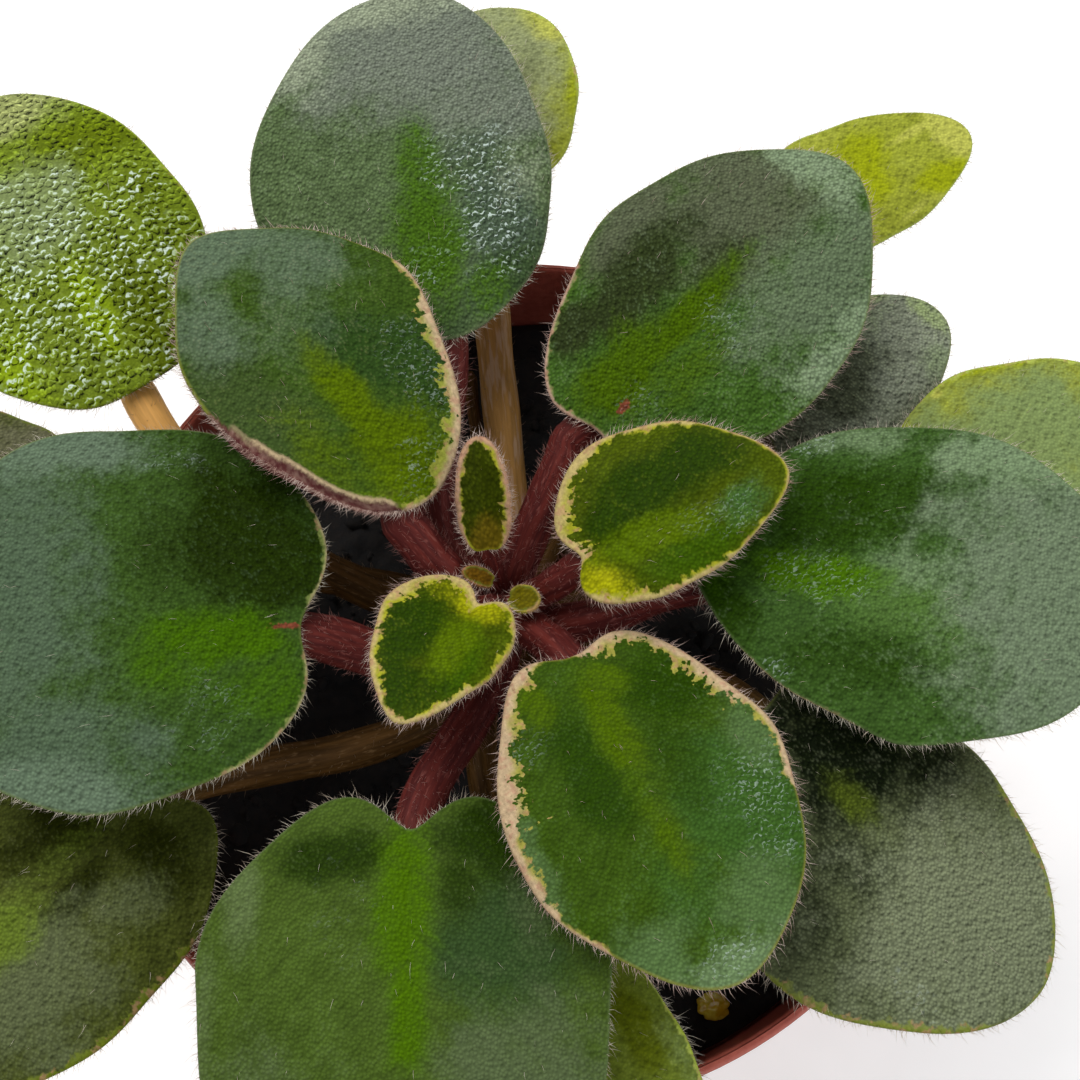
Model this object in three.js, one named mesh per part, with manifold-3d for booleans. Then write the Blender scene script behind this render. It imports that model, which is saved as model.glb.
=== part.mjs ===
// A potted african violet: a rosette of broad, hairy leaves on red stalks, standing in a round
// terracotta-coloured plastic pot. Millimetres, +Z up. The origin is the middle of the pot's
// underside, on the surface that the pot stands on. +X is east and +Y is north.

import * as THREE from "three";
import { mergeVertices } from "three/addons/utils/BufferGeometryUtils.js";
import Module from "manifold-3d";

const wasm = await Module();
wasm.setup();

const radians = THREE.MathUtils.degToRad;

// Clearance between pieces that touch on the plant
const GAP = 0.3;

// Pot
const POT_HEIGHT = 88;
const RIM_RADIUS = 52.8;
const LIP_WIDTH = 1.5;
const LIP_DROP = 1.6;
const BASE_RADIUS = 37;
const WALL = 1.2;
const FLOOR = 2;
const SHELF = 71;
const COLLAR_STEP = 2.2;
const COLLAR_TAPER = 0.9;
const ROUND_SIDES = 48;
const DRAIN_COUNT = 5;
const DRAIN_RADIUS = 3.5;
const DRAIN_RING_RADIUS = 25;

// Soil
const SOIL_TOP = 75;
const SOIL_RINGS = [44, 37, 30, 22, 15, 10];
const HOLE_RADIUS = 6;
const HOLE_DEPTH = 9;

// Stem: its axis stands west and north of the pot's middle
const STEM_X = -2.6;
const STEM_Y = 5;
const NECK_RADIUS = 5.4;
const NECK_TOP = 85.5;
const CROWN_RADIUS = 5;
const CROWN_HEIGHT = 8;
const STALK_SIDES = 8;
const STALK_RINGS = 11;

// Blades
const LARGE_BLADE = { columns: 32, rows: 9 };
const SMALL_BLADE = { columns: 28, rows: 7 };
const BUD_BLADE = { columns: 12, rows: 5 };
const RIB_SOFTNESS = 0.15;
const NOTCH_ANGLE = 0.24;
const NOTCH_EASE = 0.5;
const TIP_ANGLE = 0.3;
const TIP_POINT = 0.04;
const EDGE_WAVES = 7;
const EDGE_WAVE = 0.012;
const KEEL_SHARE = 0.2;
const STALK_STEEPER = 5;

const COLOURS = {
  terracotta: 0x8a4436,
  soil: 0x14110f,
  youngStalk: 0x6b2c2a,
  oldStalk: 0x6f5230,
  variegated: 0x4f6b1e,
  deepGreen: 0x38551f,
  greyGreen: 0x4d6446,
  lime: 0x8a9b1f,
  olive: 0x59621f,
  amber: 0xa8801c,
};

// Each kind of blade: its thickness on the rib and at the edge, how far its sides droop (cup) and
// rise from the rib (fold), how its edge turns down (curl) and ripples (wave), and its stalk's radius
const BUD = { mesh: BUD_BLADE, rib: 1, edge: 0.7, cup: 0, fold: 0.2, curl: 0, wave: 0, stalk: 0.6 };
const SMALL = { mesh: SMALL_BLADE, curl: 0.4, wave: 0.4 };
const INNER = { ...SMALL, rib: 1.3, edge: 0.75, cup: 1, fold: 0.8, stalk: 1.6 };
const LOW = { mesh: LARGE_BLADE, rib: 1.6, edge: 0.8, cup: 2.3, fold: 1.4, curl: 0.6, wave: 0.6, stalk: 2.3 };
const LOW_SMALL = { ...LOW, ...SMALL, rib: 1.4, cup: 1.7, fold: 1.1, stalk: 2 };
const MIDDLE = { ...LOW, rib: 1.5, cup: 2.2, wave: 0.7 };
const OUTER = { ...LOW, cup: 2.8, fold: 1.9, wave: 0.7, stalk: 2.4 };

// A leaf's base is where its stalk meets the blade. Heading, pitch, roll and arch are in degrees: the
// blade leaves its base at the pitch and bends down by the arch along its length. It is widest at the
// share broad of its length, the side left of its heading is wider by the share skew, and the
// exponents front and back make the outline fuller above 2. The share shoulder makes the back
// exponent larger on the left and smaller on the right. The lobes reach behind the base, and upturn
// lifts the left edge. The stalk leaves the stem at the height root. Bend carries its middle to the
// right of its way out, sag lets it droop, and swing turns the way in which it meets the blade, in
// degrees to the left of the heading. The stalk meets the blade at the joint: millimetres ahead of the
// base, and to its left.
const LEAF_DEFAULTS = {
  roll: 0,
  lobe: 2,
  broad: 0.45,
  skew: 0,
  front: 2.15,
  back: 2.15,
  shoulder: 0,
  upturn: 0,
  sag: 0,
  bend: 0,
  swing: 0,
  joint: [0, 0],
};

function leaf(name, kind, colour, shape) {
  return { ...LEAF_DEFAULTS, ...kind, ...shape, name, colour, phase: radians(3 * shape.heading) };
}

const YOUNG_LEAVES = [
  leaf("blade_bud_west", BUD, "olive", {
    base: [-3.5, 5.4, 99.2], heading: 165, length: 3.8, width: 2.4, pitch: 24, arch: 5, root: 94, lobe: 0.3,
  }),
  leaf("blade_bud_east", BUD, "olive", {
    base: [-1.4, 3.5, 99.5], heading: -15, length: 3.6, width: 3.5, pitch: 15, arch: 5, root: 94, lobe: 0.3,
  }),
  leaf("blade_inner_north", INNER, "variegated", {
    base: [-4, 8.2, 103], heading: 95, length: 13.5, width: 6.2, pitch: 48, arch: 10, root: 92,
    lobe: 1, cup: -0.8, fold: 0.6, curl: 0.1, wave: 0.15, stalk: 1.3,
  }),
  leaf("blade_inner_southwest", INNER, "variegated", {
    base: [-4.9, 1.3, 104], heading: -121, length: 17.4, width: 15, pitch: 22, arch: 10, root: 92,
    lobe: 2.5, broad: 0.3, skew: -0.18, front: 1.65, back: 2.3,
  }),
  leaf("blade_inner_east", INNER, "variegated", {
    base: [6.5, 5.7, 107], heading: 19, length: 24.3, width: 20, pitch: 24, arch: 14, root: 91,
    broad: 0.35, skew: 0.22, front: 1.75, back: 2.3, cup: 1.4, fold: 1, stalk: 1.9, sag: 2, bend: 1,
    mesh: LARGE_BLADE,
  }),
  leaf("blade_middle_southeast", MIDDLE, "variegated", {
    base: [5.6, -4.8, 104], heading: -64.5, length: 39.5, width: 31.3, pitch: 18, arch: 16, root: 91,
    lobe: 6, front: 1.9, back: 1.5,
  }),
  leaf("blade_middle_northwest", MIDDLE, "deepGreen", {
    base: [-9.4, 14, 105.5], heading: 135.5, length: 40.5, width: 29.7, pitch: 18, arch: 18, root: 91,
    lobe: 1, broad: 0.57, skew: -0.072, front: 1.65, back: 1.7, roll: 5, upturn: 2.5, stalk: 2.6,
    shoulder: 0.1, bend: -3, joint: [0, 4.5],
  }),
  leaf("blade_middle_northeast", MIDDLE, "deepGreen", {
    base: [8.8, 21.8, 104], heading: 48, length: 43, width: 33, pitch: 18, arch: 18, root: 90,
    lobe: 5, broad: 0.49, front: 1.8, back: 1.75, fold: 2, bend: -1, swing: 25, joint: [-3, 3],
  }),
  leaf("blade_outer_east", OUTER, "greyGreen", {
    base: [19.5, 4.8, 103.5], heading: -7.5, length: 47.5, width: 38, pitch: 14, arch: 16, root: 90,
    broad: 0.5, skew: 0.1, front: 2.05, back: 1.55, shoulder: 0.15, bend: 7,
  }),
  leaf("blade_outer_west", OUTER, "greyGreen", {
    base: [-24.8, -1.2, 103.5], heading: 184, length: 42, width: 45, pitch: 16, arch: 18, root: 90,
    lobe: 4.2, broad: 0.52, skew: -0.1, front: 2.1, back: 2.25, shoulder: -0.23, bend: -13, swing: 8,
    stalk: 2.75,
  }),
  leaf("blade_outer_south", OUTER, "greyGreen", {
    base: [-12, -23.6, 102.5], heading: -89, length: 42, width: 44, pitch: 12, arch: 22, root: 90,
    lobe: 6, broad: 0.36, skew: -0.03, front: 2.5, back: 1.7, bend: -5.5,
  }),
  leaf("blade_outer_north", OUTER, "greyGreen", {
    base: [-9, 34.8, 102.5], heading: 96, length: 45.5, width: 36.5, pitch: 14, arch: 14, root: 90,
    lobe: 0.5, broad: 0.4255, skew: 0.21, front: 1.95, back: 1.8, bend: -11,
  }),
];

const OLD_LEAVES = [
  leaf("blade_low_southeast", LOW, "greyGreen", {
    base: [27.5, -9.2, 96.5], heading: -47, length: 42.5, width: 34.5, pitch: 6, arch: 16, root: 81,
    lobe: 3, skew: -0.195, front: 1.9,
  }),
  leaf("blade_low_southwest", LOW, "olive", {
    base: [-42.2, -18.4, 95.5], heading: -132, length: 40.5, width: 32.5, pitch: 6, arch: 20, root: 80,
    lobe: 5.5, broad: 0.416, bend: -14, swing: -15,
  }),
  leaf("blade_low_northwest", LOW, "lime", {
    base: [-47.1, 30.7, 96.5], heading: 118, length: 46, width: 34.1, pitch: 8, arch: 16, root: 81,
    lobe: 0.5, broad: 0.4165, skew: 0.026, front: 2, bend: -8,
  }),
  leaf("blade_low_north", LOW_SMALL, "lime", {
    base: [-4.5, 59.1, 97.5], heading: 85, length: 26, width: 20.5, pitch: 10, arch: 20, root: 80,
    bend: 3.4, stalk: 2.3,
  }),
  leaf("blade_low_northeast", LOW_SMALL, "lime", {
    base: [28, 51, 97.5], heading: 27, length: 31, width: 17.2, pitch: 10, arch: 16, root: 80,
    cup: 1, front: 1.9,
  }),
  leaf("blade_low_east_small", LOW_SMALL, "greyGreen", {
    base: [29.4, 25.5, 95], heading: 37, length: 27.5, width: 18.5, pitch: 6, arch: 16, root: 80,
  }),
  leaf("blade_low_east", LOW_SMALL, "lime", {
    base: [46.5, 17, 97], heading: 15, length: 33.5, width: 28, pitch: 5, arch: 18, root: 81, cup: 2,
  }),
  leaf("blade_low_west", LOW_SMALL, "olive", {
    base: [-53, 14.5, 96], heading: 153, length: 25, width: 16, pitch: 5, arch: 16, root: 80,
    bend: 5.5,
  }),
  leaf("blade_low_south", LOW_SMALL, "lime", {
    base: [3.5, -36, 94], heading: -64, length: 33, width: 18, pitch: 3, arch: 18, root: 80, bend: 9,
  }),
];

// The thin dry stub of an old flower stalk, north of the stem
const FLOWER_STUB = { tip: [-7.2, 38.5, 84.5], root: 80.5, radius: 0.9 };

// The loose amber grain on the soil in the south-east
const GRAIN = { at: [22.6, -40.4], size: [1.9, 1.7, 1.3] };

function material(colour, roughness) {
  return new THREE.MeshStandardMaterial({ color: COLOURS[colour], roughness, metalness: 0 });
}

function bareGeometry(geometry) {
  geometry.deleteAttribute("normal");
  geometry.deleteAttribute("uv");
  return mergeVertices(geometry, 1e-4);
}

function toSolid(geometry) {
  const bare = bareGeometry(geometry);
  const mesh = new wasm.Mesh({
    numProp: 3,
    vertProperties: new Float32Array(bare.attributes.position.array),
    triVerts: new Uint32Array(bare.index.array),
  });
  return new wasm.Manifold(mesh);
}

function toGeometry(solid) {
  const mesh = solid.getMesh();
  const geometry = new THREE.BufferGeometry();
  geometry.setAttribute("position", new THREE.BufferAttribute(mesh.vertProperties, mesh.numProp));
  geometry.setIndex(new THREE.BufferAttribute(mesh.triVerts, 1));
  return geometry;
}

function namedMesh(name, geometry, colour, roughness) {
  geometry.computeVertexNormals();
  const mesh = new THREE.Mesh(geometry, material(colour, roughness));
  mesh.name = name;
  return mesh;
}

// Turns a profile of (radius, height) points about the Z axis
function turned(profile) {
  const points = profile.map(([radius, height]) => new THREE.Vector2(radius, height));
  const geometry = new THREE.LatheGeometry(points, ROUND_SIDES);
  geometry.rotateX(Math.PI / 2);
  return geometry;
}

// Inner radius of the tapered wall below the collar, and of the collar above its shelf
function innerRadius(height) {
  const mouth = RIM_RADIUS - LIP_WIDTH;
  if (height > SHELF) {
    return THREE.MathUtils.mapLinear(height, SHELF, POT_HEIGHT, mouth - COLLAR_TAPER, mouth);
  }
  const foot = mouth - COLLAR_TAPER - COLLAR_STEP;
  return THREE.MathUtils.mapLinear(height, 0, SHELF, BASE_RADIUS - WALL, foot);
}

// The wall's profile: underside, tapered wall, collar and rolled lip, then the inside back down
function makePot() {
  const round = 0.4;
  const shelfTop = SHELF + WALL;
  const collarFoot = RIM_RADIUS - LIP_WIDTH - COLLAR_TAPER + WALL;
  const mouth = RIM_RADIUS - LIP_WIDTH;
  const profile = [
    [0, 0],
    [BASE_RADIUS - 2 * round, 0],
    [BASE_RADIUS, 2 * round],
    [innerRadius(SHELF) + WALL, SHELF],
    [collarFoot - round, SHELF],
    [collarFoot, SHELF + round],
    [mouth + WALL - round / 2, POT_HEIGHT - LIP_DROP - round],
    [RIM_RADIUS, POT_HEIGHT - LIP_DROP],
    [RIM_RADIUS - 0.1 * LIP_WIDTH, POT_HEIGHT - 0.5 * LIP_DROP],
    [RIM_RADIUS - 0.4 * LIP_WIDTH, POT_HEIGHT - 0.1 * LIP_DROP],
    [mouth + round, POT_HEIGHT],
    [mouth + 0.1 * round, POT_HEIGHT - round],
    [innerRadius(shelfTop + round), shelfTop + round],
    [innerRadius(shelfTop) - round, shelfTop],
    [innerRadius(SHELF) + round, shelfTop],
    [innerRadius(SHELF), shelfTop - 2 * round],
    [innerRadius(FLOOR + round), FLOOR + round],
    [innerRadius(FLOOR) - round, FLOOR],
    [0, FLOOR],
  ];
  let pot = toSolid(turned(profile));
  for (let i = 0; i < DRAIN_COUNT; i += 1) {
    const angle = (i / DRAIN_COUNT) * 2 * Math.PI;
    const drill = new THREE.CylinderGeometry(DRAIN_RADIUS, DRAIN_RADIUS, 4 * FLOOR, 16);
    drill.rotateX(Math.PI / 2);
    drill.translate(DRAIN_RING_RADIUS * Math.cos(angle), DRAIN_RING_RADIUS * Math.sin(angle), 0);
    pot = pot.subtract(toSolid(drill));
  }
  return namedMesh("pot", toGeometry(pot), "terracotta", 0.5);
}

// Height of the crumbly soil surface at a place
function soilHeight(x, y) {
  const broad = 0.8 * Math.sin(0.23 * x + 1.3) * Math.cos(0.19 * y);
  const small = 0.5 * Math.sin(0.47 * x - 0.39 * y + 0.7);
  return SOIL_TOP + broad + small;
}

function makeSoil() {
  const clear = 1.5 * GAP;
  const bottom = FLOOR + clear;
  const overShelf = SHELF + WALL + clear;
  const profile = [
    [0, bottom],
    [innerRadius(bottom) - 4 * clear, bottom],
    [innerRadius(bottom + 2) - clear, bottom + 2],
    [innerRadius(SHELF) - clear, SHELF],
    [innerRadius(SHELF) - clear, overShelf],
    [innerRadius(overShelf) - clear, overShelf],
    [innerRadius(SOIL_TOP) - clear, SOIL_TOP],
    ...SOIL_RINGS.map((radius) => [radius, SOIL_TOP]),
    [0, SOIL_TOP],
  ];
  const geometry = turned(profile);
  const position = geometry.attributes.position;
  for (let i = 0; i < position.count; i += 1) {
    if (position.getZ(i) > SOIL_TOP - 1) {
      position.setZ(i, soilHeight(position.getX(i), position.getY(i)));
    }
  }
  const drill = new THREE.CylinderGeometry(HOLE_RADIUS, HOLE_RADIUS, 4 * HOLE_DEPTH, 24);
  drill.rotateX(Math.PI / 2);
  drill.translate(STEM_X, STEM_Y, SOIL_TOP - HOLE_DEPTH + 2 * HOLE_DEPTH);
  return namedMesh("soil", toGeometry(toSolid(geometry).subtract(toSolid(drill))), "soil", 0.95);
}

function makeGrain() {
  const { at, size } = GRAIN;
  const geometry = new THREE.SphereGeometry(1, 10, 7);
  geometry.rotateX(Math.PI / 2);
  geometry.scale(...size);
  geometry.translate(...at, soilHeight(...at) + size[2] + GAP);
  return namedMesh("soil_grain_amber", bareGeometry(geometry), "amber", 0.3);
}

// How far the blade's outline lies from the middle of the widest place, in the direction theta
function outlineReach(blade, theta) {
  const behind = blade.broad * blade.length;
  const forward = Math.cos(theta) > 0;
  const along = forward ? blade.length - behind : behind + blade.lobe;
  const side = Math.sign(Math.sin(theta));
  const across = (blade.width / 2) * (1 + blade.skew * side);
  const power = forward ? blade.front : blade.back * (1 + blade.shoulder * side);
  const sum = Math.abs(Math.cos(theta) / along) ** power + Math.abs(Math.sin(theta) / across) ** power;
  const full = sum ** (-1 / power);
  const fromNotch = (Math.PI - Math.abs(theta)) / NOTCH_ANGLE;
  const notch = 1 - (blade.lobe / (behind + blade.lobe)) * Math.exp(-(fromNotch ** 2));
  const tip = 1 + TIP_POINT * Math.exp(-((theta / TIP_ANGLE) ** 2));
  const wave = 1 + EDGE_WAVE * Math.sin(EDGE_WAVES * theta + blade.phase);
  return full * notch * tip * wave;
}

// A place on the blade: s along the rib, t across it, h above the arched rib line
function placeOnBlade(blade, s, t, h) {
  const pitch = radians(blade.pitch);
  const arch = radians(blade.arch);
  const slope = pitch - (arch * s) / blade.length;
  const reach = (blade.length / arch) * (Math.sin(pitch) - Math.sin(slope)) - h * Math.sin(slope);
  const rise = (blade.length / arch) * (Math.cos(slope) - Math.cos(pitch)) + h * Math.cos(slope);
  const point = new THREE.Vector3(reach, t, rise);
  point.applyAxisAngle(new THREE.Vector3(1, 0, 0), radians(blade.roll));
  point.applyAxisAngle(new THREE.Vector3(0, 0, 1), radians(blade.heading));
  return point.add(new THREE.Vector3(...blade.base));
}

// The blade's middle surface over the unit disc: u runs to the tip and v to the left edge
function middleSurface(blade, u, v) {
  const rho = Math.hypot(u, v);
  const theta = Math.atan2(v, u);
  const reach = rho * outlineReach(blade, theta);
  const t = reach * Math.sin(theta);
  const s = blade.broad * blade.length + reach * Math.cos(theta);
  const side = t / (blade.width / 2);
  const fold = blade.fold * (Math.hypot(side, RIB_SOFTNESS) - RIB_SOFTNESS);
  const droop = blade.cup * side ** 2;
  const upturn = blade.upturn * Math.max(0, (side - 0.6) / 0.4) ** 2;
  const clearOfNotch = 1 - Math.exp(-(((Math.PI - Math.abs(theta)) / NOTCH_EASE) ** 2));
  const ripple = blade.wave * rho ** 3 * Math.sin(3 * theta + blade.phase) - blade.curl * rho ** 6;
  return placeOnBlade(blade, s, t, fold - droop + upturn + clearOfNotch * ripple);
}

function bladeNormal(blade, u, v) {
  const step = 0.002;
  const alongU = middleSurface(blade, u + step, v).sub(middleSurface(blade, u - step, v));
  const alongV = middleSurface(blade, u, v + step).sub(middleSurface(blade, u, v - step));
  return alongU.cross(alongV).normalize();
}

// Splits the squares of a sphere's grid so that the lower half's triangles lie under the upper's
function alikeIndex(columns, rows) {
  const index = [];
  const corner = (row, column) => row * (columns + 1) + column;
  for (let row = 0; row < rows; row += 1) {
    for (let column = 0; column < columns; column += 1) {
      const a = corner(row, column + 1);
      const b = corner(row, column);
      const c = corner(row + 1, column);
      const d = corner(row + 1, column + 1);
      const upper = row < rows / 2;
      const first = upper ? [a, b, d] : [a, b, c];
      const second = upper ? [b, c, d] : [a, c, d];
      if (row > 0 || !upper) index.push(...first);
      if (row < rows - 1 || upper) index.push(...second);
    }
  }
  return index;
}

// A blade is a flattened sphere: its upper rows make the upper face, its lower rows the underside,
// and the row between them the blunt edge
function makeBlade(blade) {
  const { columns, rows } = blade.mesh;
  const geometry = new THREE.SphereGeometry(1, columns, rows);
  const position = geometry.attributes.position;
  for (let i = 0; i < position.count; i += 1) {
    const row = Math.floor(i / (columns + 1));
    const fromPole = Math.min(row, rows - row);
    const rho = fromPole / ((rows - 1) / 2);
    const theta = Math.atan2(-position.getZ(i), position.getX(i));
    const u = rho * Math.cos(theta);
    const v = rho * Math.sin(theta);
    const thickness = THREE.MathUtils.lerp(blade.rib, blade.edge, rho ** 2);
    const side = row < rows / 2 ? 1 : -1;
    const point = middleSurface(blade, u, v);
    point.addScaledVector(bladeNormal(blade, u, v), (side * thickness) / 2);
    position.setXYZ(i, point.x, point.y, point.z);
  }
  geometry.setIndex(alikeIndex(columns, rows));
  return namedMesh(blade.name, bareGeometry(geometry), blade.colour, 0.55);
}

// A tapered tube along a curve, closed at both ends; radiusAt gives its radius from 0 to 1 along it
function taperedTube(curve, radiusAt) {
  const geometry = new THREE.SphereGeometry(1, STALK_SIDES, STALK_RINGS);
  const frames = curve.computeFrenetFrames(STALK_RINGS, false);
  const position = geometry.attributes.position;
  for (let i = 0; i < position.count; i += 1) {
    const ring = Math.floor(i / (STALK_SIDES + 1));
    const isEnd = ring === 0 || ring === STALK_RINGS;
    const angle = Math.atan2(position.getZ(i), position.getX(i));
    const radius = isEnd ? 0 : radiusAt(ring / STALK_RINGS);
    const point = curve.getPointAt(ring / STALK_RINGS);
    point.addScaledVector(frames.normals[ring], radius * Math.cos(angle));
    point.addScaledVector(frames.binormals[ring], radius * Math.sin(angle));
    position.setXYZ(i, point.x, point.y, point.z);
  }
  return toSolid(geometry);
}

// The stalk's line: out of the stem, up to the notch, and on under the rib as a keel
function stalkCurve(blade) {
  const under = (share) => {
    const s = share * KEEL_SHARE * blade.length + (1 - share) * blade.joint[0];
    const t = (1 - share) * blade.joint[1];
    const radius = blade.stalk * (1 - 0.5 * share);
    return placeOnBlade(blade, s, t, -(blade.rib / 2 + GAP + 0.1 + radius));
  };
  const notch = under(0);
  const root = new THREE.Vector3(STEM_X, STEM_Y, blade.root);
  const flat = new THREE.Vector3(notch.x - root.x, notch.y - root.y, 0);
  const distance = flat.length();
  const outward = flat.clone().normalize();
  const slope = radians(blade.pitch + STALK_STEEPER);
  const heading = radians(blade.heading + blade.swing);
  const forward = new THREE.Vector3(Math.cos(heading), Math.sin(heading), 0);
  const back = forward.multiplyScalar(-Math.cos(slope));
  back.z = -Math.sin(slope);
  const climb = (notch.z - root.z) * 0.4 - blade.sag;
  const leaving = root.clone().addScaledVector(outward, 0.35 * distance).setZ(root.z + climb);
  leaving.addScaledVector(new THREE.Vector3(outward.y, -outward.x, 0), blade.bend);
  const arriving = notch.clone().addScaledVector(back, 0.3 * distance);
  const route = new THREE.CurvePath();
  route.add(new THREE.CubicBezierCurve3(root, leaving, arriving, notch));
  route.add(new THREE.CatmullRomCurve3([notch, under(0.5), under(1)]));
  return route;
}

function makeStalk(blade) {
  const samples = stalkCurve(blade).getSpacedPoints(24);
  const curve = new THREE.CatmullRomCurve3(samples);
  const keelStart = 1 - (KEEL_SHARE * blade.length) / curve.getLength();
  return taperedTube(curve, (along) => {
    const thickRoot = 0.35 * blade.stalk * Math.exp(-8 * along);
    const keel = Math.max(0, (along - keelStart) / (1 - keelStart));
    return blade.stalk * (1 - 0.5 * keel) + thickRoot;
  });
}

function makeCrown() {
  const blob = new THREE.SphereGeometry(1, 14, 8);
  blob.rotateX(Math.PI / 2);
  blob.scale(CROWN_RADIUS, CROWN_RADIUS, CROWN_HEIGHT / 2);
  blob.translate(STEM_X, STEM_Y, NECK_TOP + GAP + CROWN_HEIGHT / 2);
  let crown = toSolid(blob);
  for (const blade of YOUNG_LEAVES) {
    crown = crown.add(makeStalk(blade));
  }
  return namedMesh("stalks_young", toGeometry(crown), "youngStalk", 0.7);
}

function makeOldStem() {
  const footZ = SOIL_TOP - HOLE_DEPTH + GAP;
  const neck = new THREE.CylinderGeometry(NECK_RADIUS, NECK_RADIUS, NECK_TOP - footZ, 16);
  neck.rotateX(Math.PI / 2);
  neck.translate(STEM_X, STEM_Y, (NECK_TOP + footZ) / 2);
  let stem = toSolid(neck);
  for (const blade of OLD_LEAVES) {
    stem = stem.add(makeStalk(blade));
  }
  const root = new THREE.Vector3(STEM_X, STEM_Y, FLOWER_STUB.root);
  const line = new THREE.LineCurve3(root, new THREE.Vector3(...FLOWER_STUB.tip));
  stem = stem.add(taperedTube(line, () => FLOWER_STUB.radius));
  return namedMesh("stalks_old", toGeometry(stem), "oldStalk", 0.7);
}

const violet = new THREE.Group();
violet.add(makePot());
violet.add(makeSoil());
violet.add(makeGrain());
violet.add(makeOldStem());
violet.add(makeCrown());
violet.add(...YOUNG_LEAVES.map(makeBlade));
violet.add(...OLD_LEAVES.map(makeBlade));

export default violet;
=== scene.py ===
"""Looks of a potted african violet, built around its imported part.

The plant is measured in millimetres and degrees, as in the part's source, and becomes metres when a
mesh is made. +X is east, +Y north and +Z up.
"""

import dataclasses
import functools
import logging
import math
from dataclasses import dataclass, field
from enum import Enum
from typing import Any, Sequence

import bmesh
import bpy
import numpy as np
from mathutils import Matrix, Vector


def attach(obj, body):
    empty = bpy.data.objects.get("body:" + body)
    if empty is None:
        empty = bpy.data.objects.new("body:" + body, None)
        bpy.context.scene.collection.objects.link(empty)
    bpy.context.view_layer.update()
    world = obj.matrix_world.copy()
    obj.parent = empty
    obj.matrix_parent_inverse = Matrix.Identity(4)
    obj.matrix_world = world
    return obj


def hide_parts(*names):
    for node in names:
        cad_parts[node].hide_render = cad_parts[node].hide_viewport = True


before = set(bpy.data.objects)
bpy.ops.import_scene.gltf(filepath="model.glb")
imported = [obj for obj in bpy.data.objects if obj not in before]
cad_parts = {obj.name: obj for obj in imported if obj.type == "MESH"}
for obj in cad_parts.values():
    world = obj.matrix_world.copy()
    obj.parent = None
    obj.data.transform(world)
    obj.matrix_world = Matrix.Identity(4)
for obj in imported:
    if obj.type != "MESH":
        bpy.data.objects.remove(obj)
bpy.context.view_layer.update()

LOG = logging.getLogger("violet")
MM = 0.001
BODY = "root"
Rgb = tuple[float, float, float]
Array = np.ndarray
Draw = np.random.Generator


# Shapes worked out over arrays of points


def smooth(value: Array, low: float, high: float) -> Array:
    """Returns 0 below low, 1 above high and an easy curve between; low may be the larger."""
    share = np.clip((value - low) / (high - low), 0.0, 1.0)
    return share * share * (3.0 - 2.0 * share)


def ripples(x: Array, y: Array, size: float, seed: int, waves: int = 10) -> Array:
    """Adds crossing waves into an even, patternless swell.

    Args:
        x: Places across, in millimetres.
        y: Places along, in millimetres.
        size: Distance from crest to crest, in millimetres.
        seed: Number that picks the waves.
        waves: How many waves are added.

    Returns:
        Values mostly between -1 and 1.
    """
    draw = np.random.default_rng(seed)
    total = np.zeros_like(x, dtype=float)
    for _ in range(waves):
        angle, phase = draw.uniform(0.0, 2.0 * math.pi, 2)
        rate = 2.0 * math.pi / (size * draw.uniform(0.7, 1.5))
        total += np.cos(rate * (x * math.cos(angle) + y * math.sin(angle)) + phase)
    return total / math.sqrt(0.75 * waves)


def unit(vectors: Array) -> Array:
    """Returns rows of vectors, each of length 1."""
    length = np.linalg.norm(vectors, axis=-1, keepdims=True)
    return vectors / np.maximum(length, 1e-12)


# Meshes from operators, whose vertices are then moved by formula


def new_vertices(made: dict[str, Any]) -> list[bmesh.types.BMVert]:
    """Returns the vertices among what an extrusion made."""
    return [g for g in made["geom"] if isinstance(g, bmesh.types.BMVert)]


def open_edges(made: dict[str, Any]) -> list[bmesh.types.BMEdge]:
    """Returns the open edges among what an extrusion made."""
    return [g for g in made["geom"] if isinstance(g, bmesh.types.BMEdge) and g.is_boundary]


def keep_mesh(bm: bmesh.types.BMesh, name: str) -> bpy.types.Mesh:
    """Writes a bmesh to a new mesh with smooth faces and frees it."""
    mesh = bpy.data.meshes.new(name)
    bm.to_mesh(mesh)
    bm.free()
    mesh.shade_smooth()
    return mesh


def coordinates(mesh: bpy.types.Mesh) -> Array:
    """Returns a mesh's vertex places as rows of x, y and z."""
    flat = np.empty(3 * len(mesh.vertices))
    mesh.vertices.foreach_get("co", flat)
    return flat.reshape(-1, 3)


def leaf_pattern(columns: int, rows: int) -> bpy.types.Mesh:
    """Makes a closed leaf shell over the square from -1 to 1, to be bent by formula.

    Args:
        columns: Squares along the blade on its upper face.
        rows: Squares across it.

    Returns:
        A mesh whose z is the layer: 1 on the upper face, falling over two rings at the edge to -1
        on the underside, which is half as fine.
    """
    bm = bmesh.new()
    upper = Matrix.Translation((0, 0, 1))
    bmesh.ops.create_grid(bm, x_segments=columns, y_segments=rows, size=1, matrix=upper)
    ring = [e for e in bm.edges if e.is_boundary]
    for step in (-0.5, -0.7):
        made = bmesh.ops.extrude_edge_only(bm, edges=ring)
        bmesh.ops.translate(bm, verts=new_vertices(made), vec=(0, 0, step))
        ring = open_edges(made)
    lower = Matrix.Translation((0, 0, -1))
    half = (max(6, columns // 2), max(6, rows // 2))
    bmesh.ops.create_grid(bm, x_segments=half[0], y_segments=half[1], size=1, matrix=lower)
    under = [e for e in bm.edges if e.is_boundary and e.verts[0].co.z + e.verts[1].co.z < -1.9]
    bmesh.ops.bridge_loops(bm, edges=ring + under)
    bmesh.ops.recalc_face_normals(bm, faces=bm.faces[:])
    return keep_mesh(bm, "leaf_pattern")


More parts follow.
